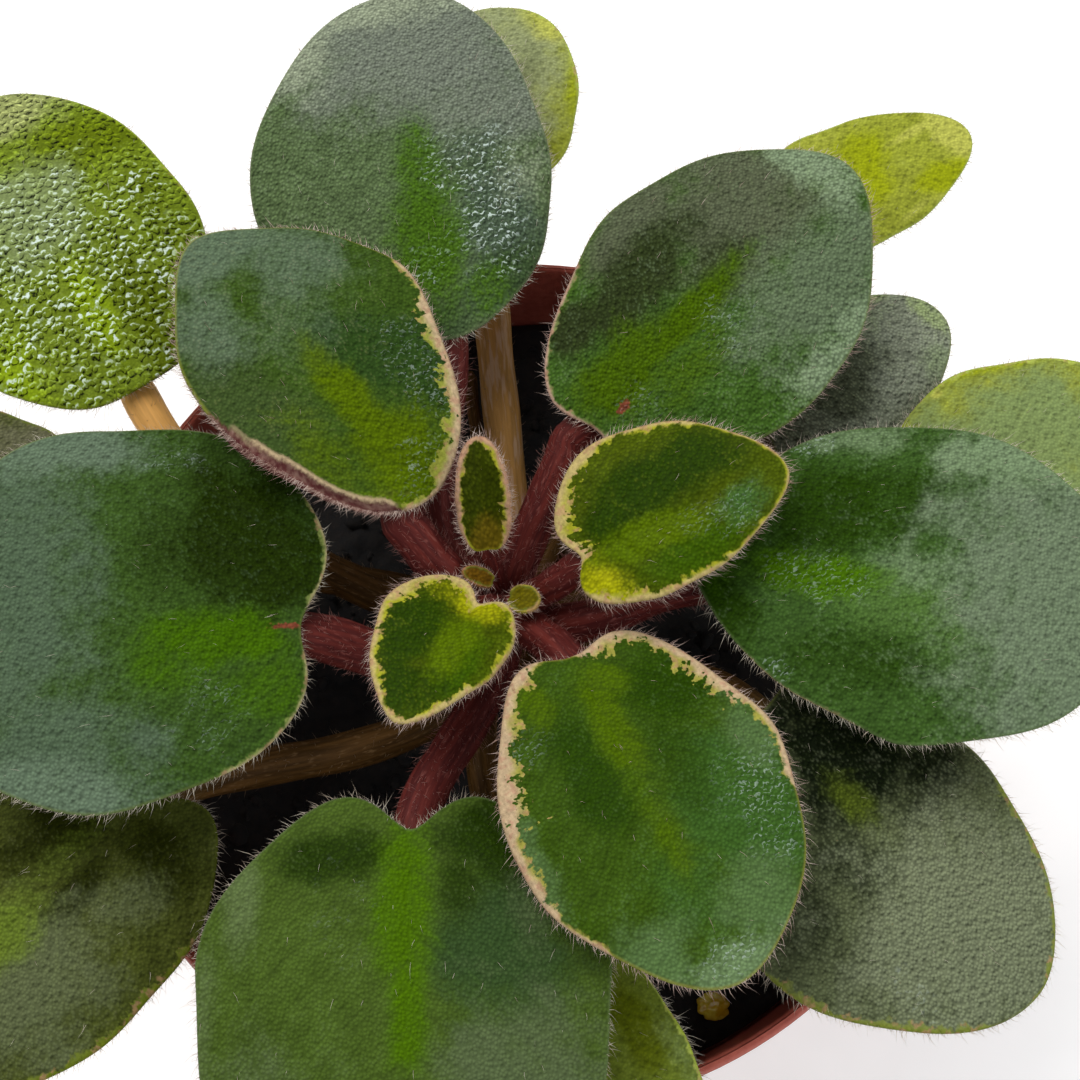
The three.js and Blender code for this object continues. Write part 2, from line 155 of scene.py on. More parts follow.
def tube_pattern(sides: int, rings: int, pointed: bool = False) -> bpy.types.Mesh:
    """Makes a closed tube of radius 1 whose z counts its rings, to be bent by formula.

    Args:
        sides: Corners round the tube.
        rings: Number of the last ring; the first is 0.
        pointed: Whether the last ring is drawn into a point.

    Returns:
        The mesh.
    """
    bm = bmesh.new()
    bmesh.ops.create_circle(bm, cap_ends=True, segments=sides, radius=1)
    ring = bm.edges[:]
    for _ in range(rings):
        made = bmesh.ops.extrude_edge_only(bm, edges=ring)
        bmesh.ops.translate(bm, verts=new_vertices(made), vec=(0, 0, 1))
        ring = open_edges(made)
    if pointed:
        bmesh.ops.pointmerge(bm, verts=new_vertices(made), merge_co=(0, 0, rings))
    else:
        bmesh.ops.edgeloop_fill(bm, edges=ring)
    bmesh.ops.recalc_face_normals(bm, faces=bm.faces[:])
    return keep_mesh(bm, "tube_pattern")


def many(pattern: bpy.types.Mesh, count: int) -> bpy.types.Mesh:
    """Repeats a pattern in place by doubling it, and keeps the given number of copies in order."""
    bm = bmesh.new()
    bm.from_mesh(pattern)
    size, made = len(bm.verts), 1
    while made < count:
        bmesh.ops.duplicate(bm, geom=bm.verts[:] + bm.edges[:] + bm.faces[:])
        made *= 2
    bm.verts.ensure_lookup_table()
    bmesh.ops.delete(bm, geom=bm.verts[count * size :], context="VERTS")
    return keep_mesh(bm, "repeats")


class Assembly:
    """Collects bent patterns and makes one piece of them."""

    def __init__(self, name: str) -> None:
        """Starts an empty piece with the given name."""
        self.name = name
        self.patterns: list[bpy.types.Mesh] = []
        self.places: list[Array] = []
        self.marks: dict[str, list[Array]] = {}

    def add(self, pattern: bpy.types.Mesh, places: Array, **marks: Array) -> None:
        """Adds a pattern with its vertices' new places in millimetres and their attributes."""
        self.patterns.append(pattern)
        self.places.append(places)
        for key, values in marks.items():
            self.marks.setdefault(key, []).append(values)

    def make(self, material: bpy.types.Material, slot: str) -> bpy.types.Object:
        """Joins what was added into one object that rides on the plant's body.

        Args:
            material: The finish of the whole piece.
            slot: The material slot of the finish; not used.

        Returns:
            The new object.
        """
        bm = bmesh.new()
        for pattern in self.patterns:
            bm.from_mesh(pattern)
        mesh = keep_mesh(bm, self.name)
        mesh.vertices.foreach_set("co", MM * np.concatenate(self.places).ravel())
        for key, values in self.marks.items():
            stacked = np.concatenate(values)
            kind, member = ("FLOAT", "value") if stacked.ndim == 1 else ("FLOAT_VECTOR", "vector")
            mark = mesh.attributes.new(key, kind, "POINT")
            mark.data.foreach_set(member, stacked.astype(np.float32).ravel())
        mesh.update()
        return show(mesh, material)


def show(mesh: bpy.types.Mesh, material: bpy.types.Material) -> bpy.types.Object:
    """Links a mesh as a piece of the plant with its finish, and reports it."""
    mesh.materials.clear()
    mesh.materials.append(material)
    piece = bpy.data.objects.new(mesh.name, mesh)
    bpy.context.scene.collection.objects.link(piece)
    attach(piece, BODY)
    mesh.calc_loop_triangles()
    LOG.info("%s: %d triangles", mesh.name, len(mesh.loop_triangles))
    return piece


# Finishes


class Bench:
    """Puts shader nodes into a tree and joins them."""

    def __init__(self, tree: bpy.types.NodeTree) -> None:
        """Works on the given tree."""
        self.tree = tree

    def node(self, kind: str, sockets: dict[Any, Any] | None = None, **settings: Any) -> Any:
        """Adds a node.

        Args:
            kind: The node's type, without its ShaderNode prefix.
            sockets: Input names or numbers, each with a value or another node's output.
            **settings: The node's own properties.

        Returns:
            The node.
        """
        node = self.tree.nodes.new(kind if kind.startswith("NodeGroup") else "ShaderNode" + kind)
        for key, value in settings.items():
            setattr(node, key, value)
        for key, value in (sockets or {}).items():
            if isinstance(value, bpy.types.NodeSocket):
                self.tree.links.new(value, node.inputs[key])
            else:
                node.inputs[key].default_value = value
        return node

    def math(self, operation: str, a: Any, b: Any = 0.0, c: Any = 0.0) -> Any:
        """Returns the output of a Math node."""
        return self.node("Math", {0: a, 1: b, 2: c}, operation=operation).outputs[0]

    def plus(self, a: Any, b: Any) -> Any:
        """Returns a + b."""
        return self.math("ADD", a, b)

    def minus(self, a: Any, b: Any) -> Any:
        """Returns a - b."""
        return self.math("SUBTRACT", a, b)

    def times(self, a: Any, b: Any) -> Any:
        """Returns a times b."""
        return self.math("MULTIPLY", a, b)

    def line(self, a: Any, slope: Any, start: Any) -> Any:
        """Returns a times slope, plus start."""
        return self.math("MULTIPLY_ADD", a, slope, start)

    def sway(self, noise: Any, much: Any, value: Any) -> Any:
        """Returns a value shaken by noise, whose middle of 0.5 leaves it as it is."""
        return self.line(self.minus(noise, 0.5), much, value)

    def fit(self, value: Any, low: Any, high: Any) -> Any:
        """Returns 0 below low, 1 above high and an easy curve between."""
        sockets = {"Value": value, "From Min": low, "From Max": high}
        return self.node("MapRange", sockets, interpolation_type="SMOOTHSTEP").outputs[0]

    def mix(self, share: Any, a: Any, b: Any) -> Any:
        """Returns colour a changed towards colour b."""
        return self.node("Mix", {0: share, 6: a, 7: b}, data_type="RGBA").outputs[2]

    def tint(self, tone: Any, light: Any) -> Any:
        """Returns a colour made lighter or darker by a factor."""
        node = self.node("VectorMath", {0: tone, "Scale": light}, operation="SCALE")
        return node.outputs[0]

    def moved(self, vector: Any, way: Any) -> Any:
        """Returns the sum of two vectors."""
        return self.node("VectorMath", {0: vector, 1: way}, operation="ADD").outputs[0]

    def scaled(self, vector: Any, scale: Sequence[float]) -> Any:
        """Returns a vector stretched along its axes."""
        return self.node("Mapping", {"Vector": vector, "Scale": scale}).outputs[0]

    def noise(self, where: Any, scale: float, detail: float = 2.0, output: int = 0) -> Any:
        """Returns soft noise around 0.5, or as a colour with output 1."""
        sockets = {"Vector": where, "Scale": scale, "Detail": detail}
        return self.node("TexNoise", sockets).outputs[output]

    def cells(self, where: Any, scale: float) -> Any:
        """Returns the distance to the nearest of many points scattered over the level."""
        sockets = {"Vector": where, "Scale": scale}
        return self.node("TexVoronoi", sockets, voronoi_dimensions="2D").outputs["Distance"]

    def mark(self, name: str, output: str = "Fac") -> Any:
        """Returns an attribute of the mesh."""
        return self.node("Attribute", attribute_name=name).outputs[output]


def colour(tone: Rgb) -> tuple[float, float, float, float]:
    """Returns a tone as an opaque colour."""
    return (*tone, 1.0)


class Skin:
    """A shader node group that gives a colour, a roughness and a height."""

    def __init__(self, name: str, tones: Sequence[str], numbers: Sequence[str] = ()) -> None:
        """Starts the group.

        Args:
            name: The group's name.
            tones: Names of its inputs that are colours.
            numbers: Names of its inputs that are numbers.
        """
        self.tree = bpy.data.node_groups.new(name, "ShaderNodeTree")
        given = dict.fromkeys(tones, "Color") | dict.fromkeys(numbers, "Float")
        results = {"Color": "Color", "Roughness": "Float", "Height": "Float"}
        for side, sockets in (("INPUT", given), ("OUTPUT", results)):
            for key, kind in sockets.items():
                kind = "NodeSocket" + kind
                self.tree.interface.new_socket(key, in_out=side, socket_type=kind)
        self.b = Bench(self.tree)
        self.given = self.b.node("NodeGroupInput").outputs

    def end(self, skin: Any, rough: Any, height: Any) -> bpy.types.NodeTree:
        """Joins the three results to the group's outputs and returns the group."""
        self.b.node("NodeGroupOutput", {"Color": skin, "Roughness": rough, "Height": height})
        return self.tree


SCAR_TONE = (0.15, 0.04, 0.02, 1.0)
# Colour of the painted glints, highlights on the beads
GLINT_TONE = (0.58, 0.68, 0.63, 1.0)
BLUSH_TONE = (0.4, 0.19, 0.13, 1.0)
MAROON_TONE = (0.1, 0.028, 0.027, 1.0)
MAROON_PALE_TONE = (0.25, 0.14, 0.11, 1.0)
TO_MM = (1000.0, 1000.0, 0.0)
BUMP_STEP = 0.1
DOMES_IN_MM = 2.3
PITS_IN_MM = 0.87
ZONE_BLUR = 0.5
SCAR_BLUR = 0.2
THINNEST_BORDER = 0.1


class LeafSkin(Skin):
    """The group that colours a blade: zones, pebbles, painted glints, pale border and turned edge.
    """

    def __init__(self) -> None:
        """Starts the group with the marks and noises that its layers share."""
        tones = ("Main", "Dusk", "Deep", "Bloom", "Pale", "Bright", "Cream", "Line", "Under")
        numbers = ("Grain", "Pits", "Glints", "Bead Size", "Roughness", "Swirl", "Blur", "Facets")
        super().__init__("leaf_skin", tones, numbers)
        b = self.b
        self.flat = b.mark("flat", "Vector")
        self.border = b.mark("border", "Vector")
        self.border_width = b.node("SeparateXYZ", {0: self.border}).outputs[2]
        self.edge, self.under = b.mark("edge"), b.mark("under")
        self.broad = b.noise(self.flat, 0.45, 3.0)
        self.fine = b.noise(self.flat, 2.4)
        self.streak = b.noise(b.scaled(b.mark("vein", "Vector"), (1.0, 0.2, 1.0)), 1.0, 3.0)
        self.level = b.scaled(b.node("TexCoord").outputs["Object"], TO_MM)
        self.behind, self.ahead = self.bumps(-BUMP_STEP), self.bumps(BUMP_STEP)
        self.relief = b.plus(self.behind, self.ahead)
        self.pebbly = b.plus(b.minus(self.fine, 0.7), b.math("MAXIMUM", self.relief, -0.1))
        # How strongly the painted glints show
        self.wet = b.fit(b.sway(self.broad, 1.3, b.mark("glint")), 0.3, 1.1)

    def bumps(self, step: float) -> Any:
        """Returns the height of the skin's domes and pits, a step away towards the light."""
        b, given = self.b, self.given
        place = b.moved(self.level, (-0.5 * step, 0.85 * step, 0.0))
        domes = b.times(b.fit(b.cells(place, DOMES_IN_MM), 0.62, 0.08), given["Grain"])
        pits = b.times(b.fit(b.cells(place, PITS_IN_MM), 0.45, 0.05), given["Pits"])
        return b.minus(domes, pits)

    def zone(self, mark: str, by: Any, swirl: Any, speckle: float, blur: Any) -> Any:
        """Returns how strongly a zone shows, its edge blurred and broken up.

        Args:
            mark: The zone's attribute.
            by: Noise that bends its edge.
            swirl: How far the noise bends it.
            speckle: How much stronger it is on the skin's pebbles.
            blur: Half the width of its edge.

        Returns:
            A share from 0 to 1.
        """
        b = self.b
        value = b.line(self.pebbly, speckle, b.sway(by, swirl, b.mark(mark)))
        return b.fit(value, b.minus(0.5, blur), b.plus(0.5, blur))

    def zoned(self) -> Any:
        """Returns the main colour with the zones over it."""
        b, given = self.b, self.given
        layers = (
            ("Dusk", self.broad, 0.4, 0.25, ZONE_BLUR),
            # Shadow: painted shade under other leaves and in the lows between pebbles, partly a
            # darker green
            ("Deep", self.broad, 0.4, -0.2, ZONE_BLUR),
            # Sheen: painted sheen, sky light reflected by the hairy skin, stronger on the pebbles'
            # tops
            ("Bloom", self.broad, given["Swirl"], 0.3, given["Blur"]),
            ("Pale", self.broad, 0.5, 0.3, ZONE_BLUR),
            # Bright: painted glow of light shining through the leaf near the rib
            ("Bright", self.streak, 0.6, 0.25, ZONE_BLUR),
        )
        skin = b.tint(given["Main"], b.line(self.broad, 0.8, 0.6))
        for tone, *shape in layers:
            skin = b.mix(self.zone(tone.lower(), *shape), skin, given[tone])
        skin = b.tint(skin, b.line(self.streak, 0.5, 0.65))
        return b.mix(self.zone("scar", self.fine, 0.7, 0.3, SCAR_BLUR), skin, SCAR_TONE)

    def lit(self, skin: Any) -> Any:
        """Returns the colour with painted light and shade: lighter on bump sides that face the
        light and on domes, darker in pits.
        """
        b = self.b
        light = b.line(self.relief, 0.25, b.minus(self.behind, self.ahead))
        sand = b.times(b.minus(b.noise(self.level, 3.4), 0.5), self.given["Grain"])
        return b.tint(skin, b.plus(b.plus(light, sand), 0.97))

    def glinted(self, skin: Any) -> tuple[Any, Any]:
        """Returns the colour with painted glints, highlights on scattered beads, and the beads'
        height.
        """
        b, given = self.b, self.given
        warp = b.noise(self.level, 1.1, output=1)
        warp = b.node("VectorMath", {0: warp, 1: (0.5, 0.5, 0.5)}, operation="SUBTRACT").outputs[0]
        place = b.moved(b.tint(warp, 1.5), self.level)
        place = b.tint(place, b.math("DIVIDE", 1.0, given["Bead Size"]))
        behind, ahead = (
            b.fit(b.cells(b.moved(place, (-0.06 * side, 0.1 * side, 0.0)), 1.0), 0.52, 0.22)
            for side in (-1, 1)
        )
        bead_light = b.minus(behind, ahead)
        # Painted light and shade: each bead lighter on the side that faces the light, darker on the
        # other
        skin = b.tint(skin, b.line(bead_light, given["Facets"], 1.0))
        shine = b.sway(b.noise(place, 0.6, 5.0), 2.2, bead_light)
        glint = b.times(b.fit(shine, 0.15, 0.95), self.wet)
        skin = b.mix(b.times(glint, given["Glints"]), skin, GLINT_TONE)
        return skin, b.times(b.plus(behind, ahead), b.times(self.wet, 0.5))

    def bordered(self, skin: Any) -> Any:
        """Returns the colour with the thin pale line along the edge and the cream border."""
        b, given, width = self.b, self.given, self.border_width
        skin = b.mix(b.times(b.fit(self.edge, 0.5, 0.05), 0.6), skin, given["Line"])
        tooth = b.line(b.noise(b.scaled(self.border, (0.62, 0.22, 0.0)), 1.0, 4.0), 4.0, -1.0)
        depth = b.minus(b.times(width, tooth), self.edge)
        flakes = b.times(b.minus(b.noise(self.flat, 1.6, 4.0), 0.5), width)
        depth = b.line(flakes, 2.4, depth)
        cream = b.times(b.fit(depth, -0.25, 0.25), b.fit(width, 0.02, 0.2))
        inner = b.math("DIVIDE", self.edge, b.math("MAXIMUM", width, THINNEST_BORDER))
        inner = b.sway(self.broad, 1.6, inner)
        pale = b.mix(b.fit(inner, 0.3, 1.1), given["Cream"], given["Line"])
        blush = b.times(b.fit(b.noise(self.flat, 1.1), 0.5, 0.65), 0.5)
        pale = b.mix(blush, pale, BLUSH_TONE)
        return b.mix(cream, skin, b.tint(pale, b.line(self.fine, 0.9, 0.5)))

    def turned(self, skin: Any) -> Any:
        """Returns the colour with the maroon underside and pale lip of a turned margin."""
        b, turned = self.b, self.b.mark("turned")
        lip = b.minus(b.sway(self.fine, 0.7, self.edge), turned)
        ragged = b.noise(b.scaled(self.border, (1.3, 1.6, 0.0)), 1.0, 4.0)
        maroon = b.mix(b.fit(ragged, 0.35, 0.75), MAROON_TONE, MAROON_PALE_TONE)
        on_lip = b.times(b.fit(lip, 0.9, 0.3), b.fit(turned, 0.5, 1.1))
        cream = b.tint(self.given["Cream"], b.line(self.fine, 1.2, 0.2))
        skin = b.mix(on_lip, skin, cream)
        return b.mix(b.times(b.fit(lip, 0.25, -0.25), b.fit(turned, 0.1, 0.5)), skin, maroon)

    def make(self) -> bpy.types.NodeTree:
        """Makes the group, layer over layer."""
        b, given = self.b, self.given
        skin, swell = self.glinted(self.lit(self.zoned()))
        skin = self.turned(self.bordered(skin))
        skin = b.mix(self.under, skin, b.tint(given["Under"], b.line(self.streak, 0.6, 0.7)))
        height = b.line(swell, given["Glints"], b.times(self.relief, 0.5))
        height = b.line(self.fine, 0.3, height)
        rough = b.line(b.times(self.wet, given["Glints"]), -0.15, given["Roughness"])
        return self.end(skin, b.line(self.under, 0.2, rough), height)


@functools.cache
def leaf_skin() -> bpy.types.NodeTree:
    """Returns the one group that colours every blade."""
    return LeafSkin().make()


@functools.cache
def stalk_skin() -> bpy.types.NodeTree:
    """Returns the group that colours a stalk: lengthwise streaks that pale towards the blade."""
    group = Skin("stalk_skin", ("Flesh", "Shade", "Pale", "Tip", "Ripe", "Crust"))
    b, given = group.b, group.given
    flat, ripe = b.mark("flat", "Vector"), b.mark("ripe")
    streak = b.noise(b.scaled(flat, (1.1, 0.12, 1.0)), 1.0, 3.0)
    fine = b.noise(b.scaled(flat, (3.0, 0.8, 1.0)), 1.0)
    skin = b.mix(b.fit(streak, 0.35, 0.7), given["Shade"], given["Flesh"])
    skin = b.mix(b.fit(fine, 0.55, 0.8), skin, given["Pale"])
    skin = b.mix(b.fit(b.mark("along"), 0.72, 0.98), skin, given["Tip"])
    skin = b.mix(ripe, skin, b.tint(given["Ripe"], b.line(streak, 0.9, 0.55)))
    flake = b.fit(b.noise(b.scaled(flat, (0.8, 0.2, 1.0)), 1.0, 5.0), 0.5, 0.62)
    flake = b.times(b.times(flake, b.fit(ripe, 0.05, 0.3)), b.fit(ripe, 0.9, 0.5))
    skin = b.mix(b.times(flake, 0.7), skin, given["Crust"])
    return group.end(skin, b.line(fine, 0.2, 0.45), b.line(fine, 0.5, streak))


@functools.cache
def mottle() -> bpy.types.NodeTree:
    """Returns the group that blends two colours in grains of one size, for pot, soil and hairs."""
    group = Skin("mottle", ("Dark", "Light"), ("Grains", "Roughness", "Spread"))
    b, given = group.b, group.given
    where = b.node("TexCoord").outputs["Object"]
    sockets = {"Vector": where, "Scale": given["Grains"], "Detail": 4.0, "Roughness": 0.6}
    grain = b.node("TexNoise", sockets).outputs[0]
    skin = b.mix(b.fit(grain, 0.35, 0.65), given["Dark"], given["Light"])
    return group.end(skin, b.sway(grain, given["Spread"], given["Roughness"]), grain)


def dressed(
    name: str,
    tree: bpy.types.NodeTree,
    values: dict[str, Any],
    relief: float,
    **shader: Any,
) -> bpy.types.Material:
    """Makes a material from one of the skin groups.

    Args:
        name: The material's name.
        tree: The group.
        values: The group's inputs, numbers or tones.
        relief: Height of its relief, in millimetres.
        **shader: Principled inputs that are the same all over, with _ for a space.

    Returns:
        The material.
    """
    made = bpy.data.materials.new(name)
    made.use_nodes = True
    made.node_tree.nodes.clear()
    b = Bench(made.node_tree)
    skin = b.node("Group", node_tree=tree)
    for key, value in values.items():
        skin.inputs[key].default_value = colour(value) if isinstance(value, tuple) else value
    bump = b.node("Bump", {"Height": skin.outputs["Height"], "Distance": relief * MM})
    sockets: dict[Any, Any] = {
        "Base Color": skin.outputs["Color"],
        "Roughness": skin.outputs["Roughness"],
        "Normal": bump.outputs[0],
    }
    for key, value in shader.items():
        sockets[key.replace("_", " ")] = colour(value) if isinstance(value, tuple) else value
    surface = b.node("BsdfPrincipled", sockets)
    b.node("OutputMaterial", {"Surface": surface.outputs[0]})
    return made


@dataclass(frozen=True)
class LeafFinish:
    """How one blade is coloured. Tones are linear, and the first six are its zones."""

    main: Rgb
    dusk: Rgb
    # shadow: painted shade under other leaves and between pebbles, partly a darker green
    deep: Rgb
    # sheen: painted sheen, the grey reflection of sky light on the hairy skin
    bloom: Rgb
    pale: Rgb
    # bright: painted glow of light shining through the leaf near the rib
    bright: Rgb
    cream: Rgb = (0.42, 0.33, 0.17)
    line: Rgb = (0.2, 0.24, 0.07)
    under: Rgb = (0.17, 0.08, 0.05)
    grain: float = 0.3
    pits: float = 0.35
    # glints: strength of the painted glints, highlights on the beads
    glints: float = 0.6
    bead_size: float = 0.95
    roughness: float = 0.5
    swirl: float = 0.6
    blur: float = 0.5
    # shading: strength of the painted light and shade on the beads' sides
    facets: float = 0.0
    relief: float = 0.12

    def material(self, name: str) -> bpy.types.Material:
        """Makes the finish as a material."""
        values = {
            item.name.replace("_", " ").title(): getattr(self, item.name)
            for item in dataclasses.fields(self)
            if item.name != "relief"
        }
        return dressed(name, leaf_skin(), values, self.relief, Specular_IOR_Level=0.02)


@dataclass(frozen=True)
class StalkFinish:
    """How stalks are coloured. Tones are linear."""

    flesh: Rgb
    shade: Rgb
    pale: Rgb
    tip: Rgb
    crust: Rgb
    ripe: Rgb = (0.66, 0.35, 0.1)

    def material(self, name: str) -> bpy.types.Material:
        """Makes the finish as a material."""
        values = {item.name.title(): getattr(self, item.name) for item in dataclasses.fields(self)}
        return dressed(name, stalk_skin(), values, 0.12, Specular_IOR_Level=0.1)


@dataclass(frozen=True)
class GrainFinish:
    """A mottled finish of two tones."""

    dark: Rgb
    light: Rgb
    grains: float
    roughness: float
    spread: float
    relief: float

    def material(self, name: str, **shader: Any) -> bpy.types.Material:
        """Makes the finish as a material, with any Principled inputs that it needs."""
        values = {
            "Dark": self.dark,
            "Light": self.light,
            "Grains": self.grains,
            "Roughness": self.roughness,
            "Spread": self.spread,
        }
        return dressed(name, mottle(), values, self.relief, **shader)


# Leaves


@dataclass(frozen=True)
class Growth:
    """Thickness and bending of a blade: see the part's source. Millimetres."""

    rib: float
    edge: float
    cup: float
    fold: float
    curl: float
    wave: float
    stalk: float


class Kind(Enum):
    """The kinds of blade, by age and place."""

    BUD = Growth(rib=1.0, edge=0.7, cup=0.0, fold=0.2, curl=0.0, wave=0.0, stalk=0.6)
    INNER = Growth(rib=1.3, edge=0.75, cup=1.0, fold=0.8, curl=0.4, wave=0.4, stalk=1.6)
    MIDDLE = Growth(rib=1.5, edge=0.8, cup=2.2, fold=1.4, curl=0.6, wave=0.7, stalk=2.3)
    OUTER = Growth(rib=1.6, edge=0.8, cup=2.8, fold=1.9, curl=0.6, wave=0.7, stalk=2.4)
    LOW = Growth(rib=1.6, edge=0.8, cup=2.3, fold=1.4, curl=0.6, wave=0.6, stalk=2.3)
    LOW_SMALL = Growth(rib=1.4, edge=0.8, cup=1.7, fold=1.1, curl=0.4, wave=0.4, stalk=2.0)


class Tint(Enum):
    """The zones that a blade can have beside its main colour, named as their mesh attributes."""

    DUSK = "dusk"
    # painted shade under other leaves and between pebbles, partly a darker green
    DEEP = "deep"
    # painted sheen of sky light reflected by the hairy skin
    BLOOM = "bloom"
    PALE = "pale"
    # painted glow of light shining through the leaf near the rib
    BRIGHT = "bright"
    # painted glints, highlights on the beads
    GLINT = "glint"
    SCAR = "scar"


@dataclass(frozen=True)
class Patch:
    """A soft oval zone: its middle in shares of the blade, and its reach in millimetres.

    The share s runs from the stalk's end to the tip, and side from -1 at the right edge to 1 at the
    left. Turn swings the long way from the rib to the left, in degrees.
    """

    tint: Tint
    s: float
    side: float
    long: float
    wide: float
    strength: float = 1.0
    turn: float = 0.0


def zones(**rows: Sequence[tuple[float, ...]]) -> tuple[Patch, ...]:
    """Returns patches listed by their tint, each with a patch's other values in order."""
    return tuple(Patch(Tint(tint), *row) for tint, listed in rows.items() for row in listed)


@dataclass(frozen=True)
class Border:
    """A stretch of pale border: its middle, half its length round the outline, and its width.

    Angles are in degrees from the tip to the left, seen from the blade's broadest place.
    """

    middle: float
    half: float
    width: float


def margin(*rows: tuple[float, float, float]) -> tuple[Border, ...]:
    """Returns stretches of border, each from its middle, half its length and its width."""
    return tuple(Border(*row) for row in rows)


STEM = (-2.6, 5.0)
NOTCH_ANGLE = 0.24
NOTCH_EASE = 0.5
RIB_SOFTNESS = 0.15
TIP_ANGLE = 0.3
TIP_POINT = 0.04
EDGE_WAVES = 7
EDGE_WAVE = 0.012
KEEL_SHARE = 0.2
STALK_STEEPER = 5.0
KEEL_GAP = 0.2
EDGE_ROUND = 0.35
TOP_LAYER = 0.9
FEWEST_COLUMNS, FEWEST_ROWS = 14, 12
SIDE_VEINS = 6.5
VEIN_LEAN, VEIN_BOW, VEIN_SHIFT = 0.8, 0.012, 0.2
VEIN_DEPTH, VEIN_WIDTH = 0.05, 0.5
RIB_DEPTH = 0.3
KEEL_HEIGHT, KEEL_WIDTH = 0.5, 1.4
PEBBLE_SIZE, PEBBLE_HEIGHT = 1.4, 0.03
SWELL_SIZE, SWELL_HEIGHT = 8.0, 0.1
PATCH_REACH, PATCH_CORE = 1.55, 0.3
TURN_DROP, TURN_CREST = 0.9, 0.3
HAIR_ROOT, FUZZ_ROOT = 0.034, 0.026
FUZZ_SHARE = 0.42
EDGE_BAND = (0.985, 1.0)
HAIR_LENGTHS, HAIR_THICKNESS = (0.55, 1.25), (0.75, 1.25)
FACE_HAIR_LENGTHS, FACE_HAIR_RADII = (0.5, 1.0), (0.018, 0.03)
EDGE_HAIR_SINK, SKIN_HAIR_SINK = 0.15, 0.12
HAIR_DROOP, FACE_HAIR_DROOP = (0, 0, 0.15), (0, 0, 0.25)
FULL_SIZE = 30.0


@dataclass(frozen=True)
class BladeForm:
    """One blade's place and outline, with the part's own names and numbers."""

    name: str
    kind: Kind
    base: tuple[float, float, float]
    heading: float
    length: float
    width: float
    pitch: float
    arch: float
    root: float
    lobe: float = 2.0
    broad: float = 0.45
    skew: float = 0.0
    front: float = 2.15
    back: float = 2.15
    shoulder: float = 0.0
    roll: float = 0.0
    upturn: float = 0.0
    sag: float = 0.0
    bend: float = 0.0
    swing: float = 0.0
    joint: tuple[float, float] = (0.0, 0.0)
    own: dict[str, float] = field(default_factory=dict)

    @property
    def growth(self) -> Growth:
        """Returns the kind's growth with this blade's own values."""
        return dataclasses.replace(self.kind.value, **self.own)

    def outline(self, theta: Array) -> Array:
        """Returns how far the outline lies from the blade's middle, for each direction."""
        behind = self.broad * self.length
        along = np.where(np.cos(theta) > 0, self.length - behind, behind + self.lobe)
        side = np.sign(np.sin(theta))
        across = (self.width / 2) * (1 + self.skew * side)
        power = np.where(np.cos(theta) > 0, self.front, self.back * (1 + self.shoulder * side))
        total = np.abs(np.cos(theta) / along) ** power + np.abs(np.sin(theta) / across) ** power
        from_notch = (math.pi - np.abs(theta)) / NOTCH_ANGLE
        notch = 1 - (self.lobe / (behind + self.lobe)) * np.exp(-(from_notch**2))
        tip = 1 + TIP_POINT * np.exp(-((theta / TIP_ANGLE) ** 2))
        phase = math.radians(3 * self.heading)
        wave = 1 + EDGE_WAVE * np.sin(EDGE_WAVES * theta + phase)
        return total ** (-1 / power) * notch * tip * wave

    def place(self, s: Array, t: Array, h: Array) -> Array:
        """Returns places on the plant: s along the rib, t to its left, h above the arched rib."""
        pitch, arch = math.radians(self.pitch), math.radians(self.arch)
        slope = pitch - arch * s / self.length
        bow = self.length / arch
        x = bow * (math.sin(pitch) - np.sin(slope)) - h * np.sin(slope)
        z = bow * (np.cos(slope) - math.cos(pitch)) + h * np.cos(slope)
        roll, turn = math.radians(self.roll), math.radians(self.heading)
        y = t * math.cos(roll) - z * math.sin(roll)
        z = t * math.sin(roll) + z * math.cos(roll)
        east = x * math.cos(turn) - y * math.sin(turn)
        north = x * math.sin(turn) + y * math.cos(turn)
        return np.stack([east, north, z], axis=-1) + np.array(self.base)

    def on_disc(self, u: Array, v: Array) -> tuple[Array, Array]:
        """Returns s and t for places on the unit disc whose rim is the outline."""
        theta = np.arctan2(v, u)
        reach = np.hypot(u, v) * self.outline(theta)
        return self.broad * self.length + reach * np.cos(theta), reach * np.sin(theta)

    def surface(self, u: Array, v: Array) -> Array:
        """Returns places on the blade's middle surface over the unit disc."""
        grown = self.growth
        rho, theta = np.hypot(u, v), np.arctan2(v, u)
        s, t = self.on_disc(u, v)
        side = t / (self.width / 2)
        fold = grown.fold * (np.hypot(side, RIB_SOFTNESS) - RIB_SOFTNESS)
        lift = self.upturn * np.maximum(0, (side - 0.6) / 0.4) ** 2
        clear = 1 - np.exp(-(((math.pi - np.abs(theta)) / NOTCH_EASE) ** 2))
        ripple = np.sin(3 * theta + math.radians(3 * self.heading))
        edge = grown.wave * rho**3 * ripple - grown.curl * rho**6
        return self.place(s, t, fold - grown.cup * side**2 + lift + clear * edge)

    def normals(self, u: Array, v: Array) -> Array:
        """Returns the upward normals of the middle surface."""
        step = 0.002
        along = self.surface(u + step, v) - self.surface(u - step, v)
        across = self.surface(u, v + step) - self.surface(u, v - step)
        return unit(np.cross(along, across))


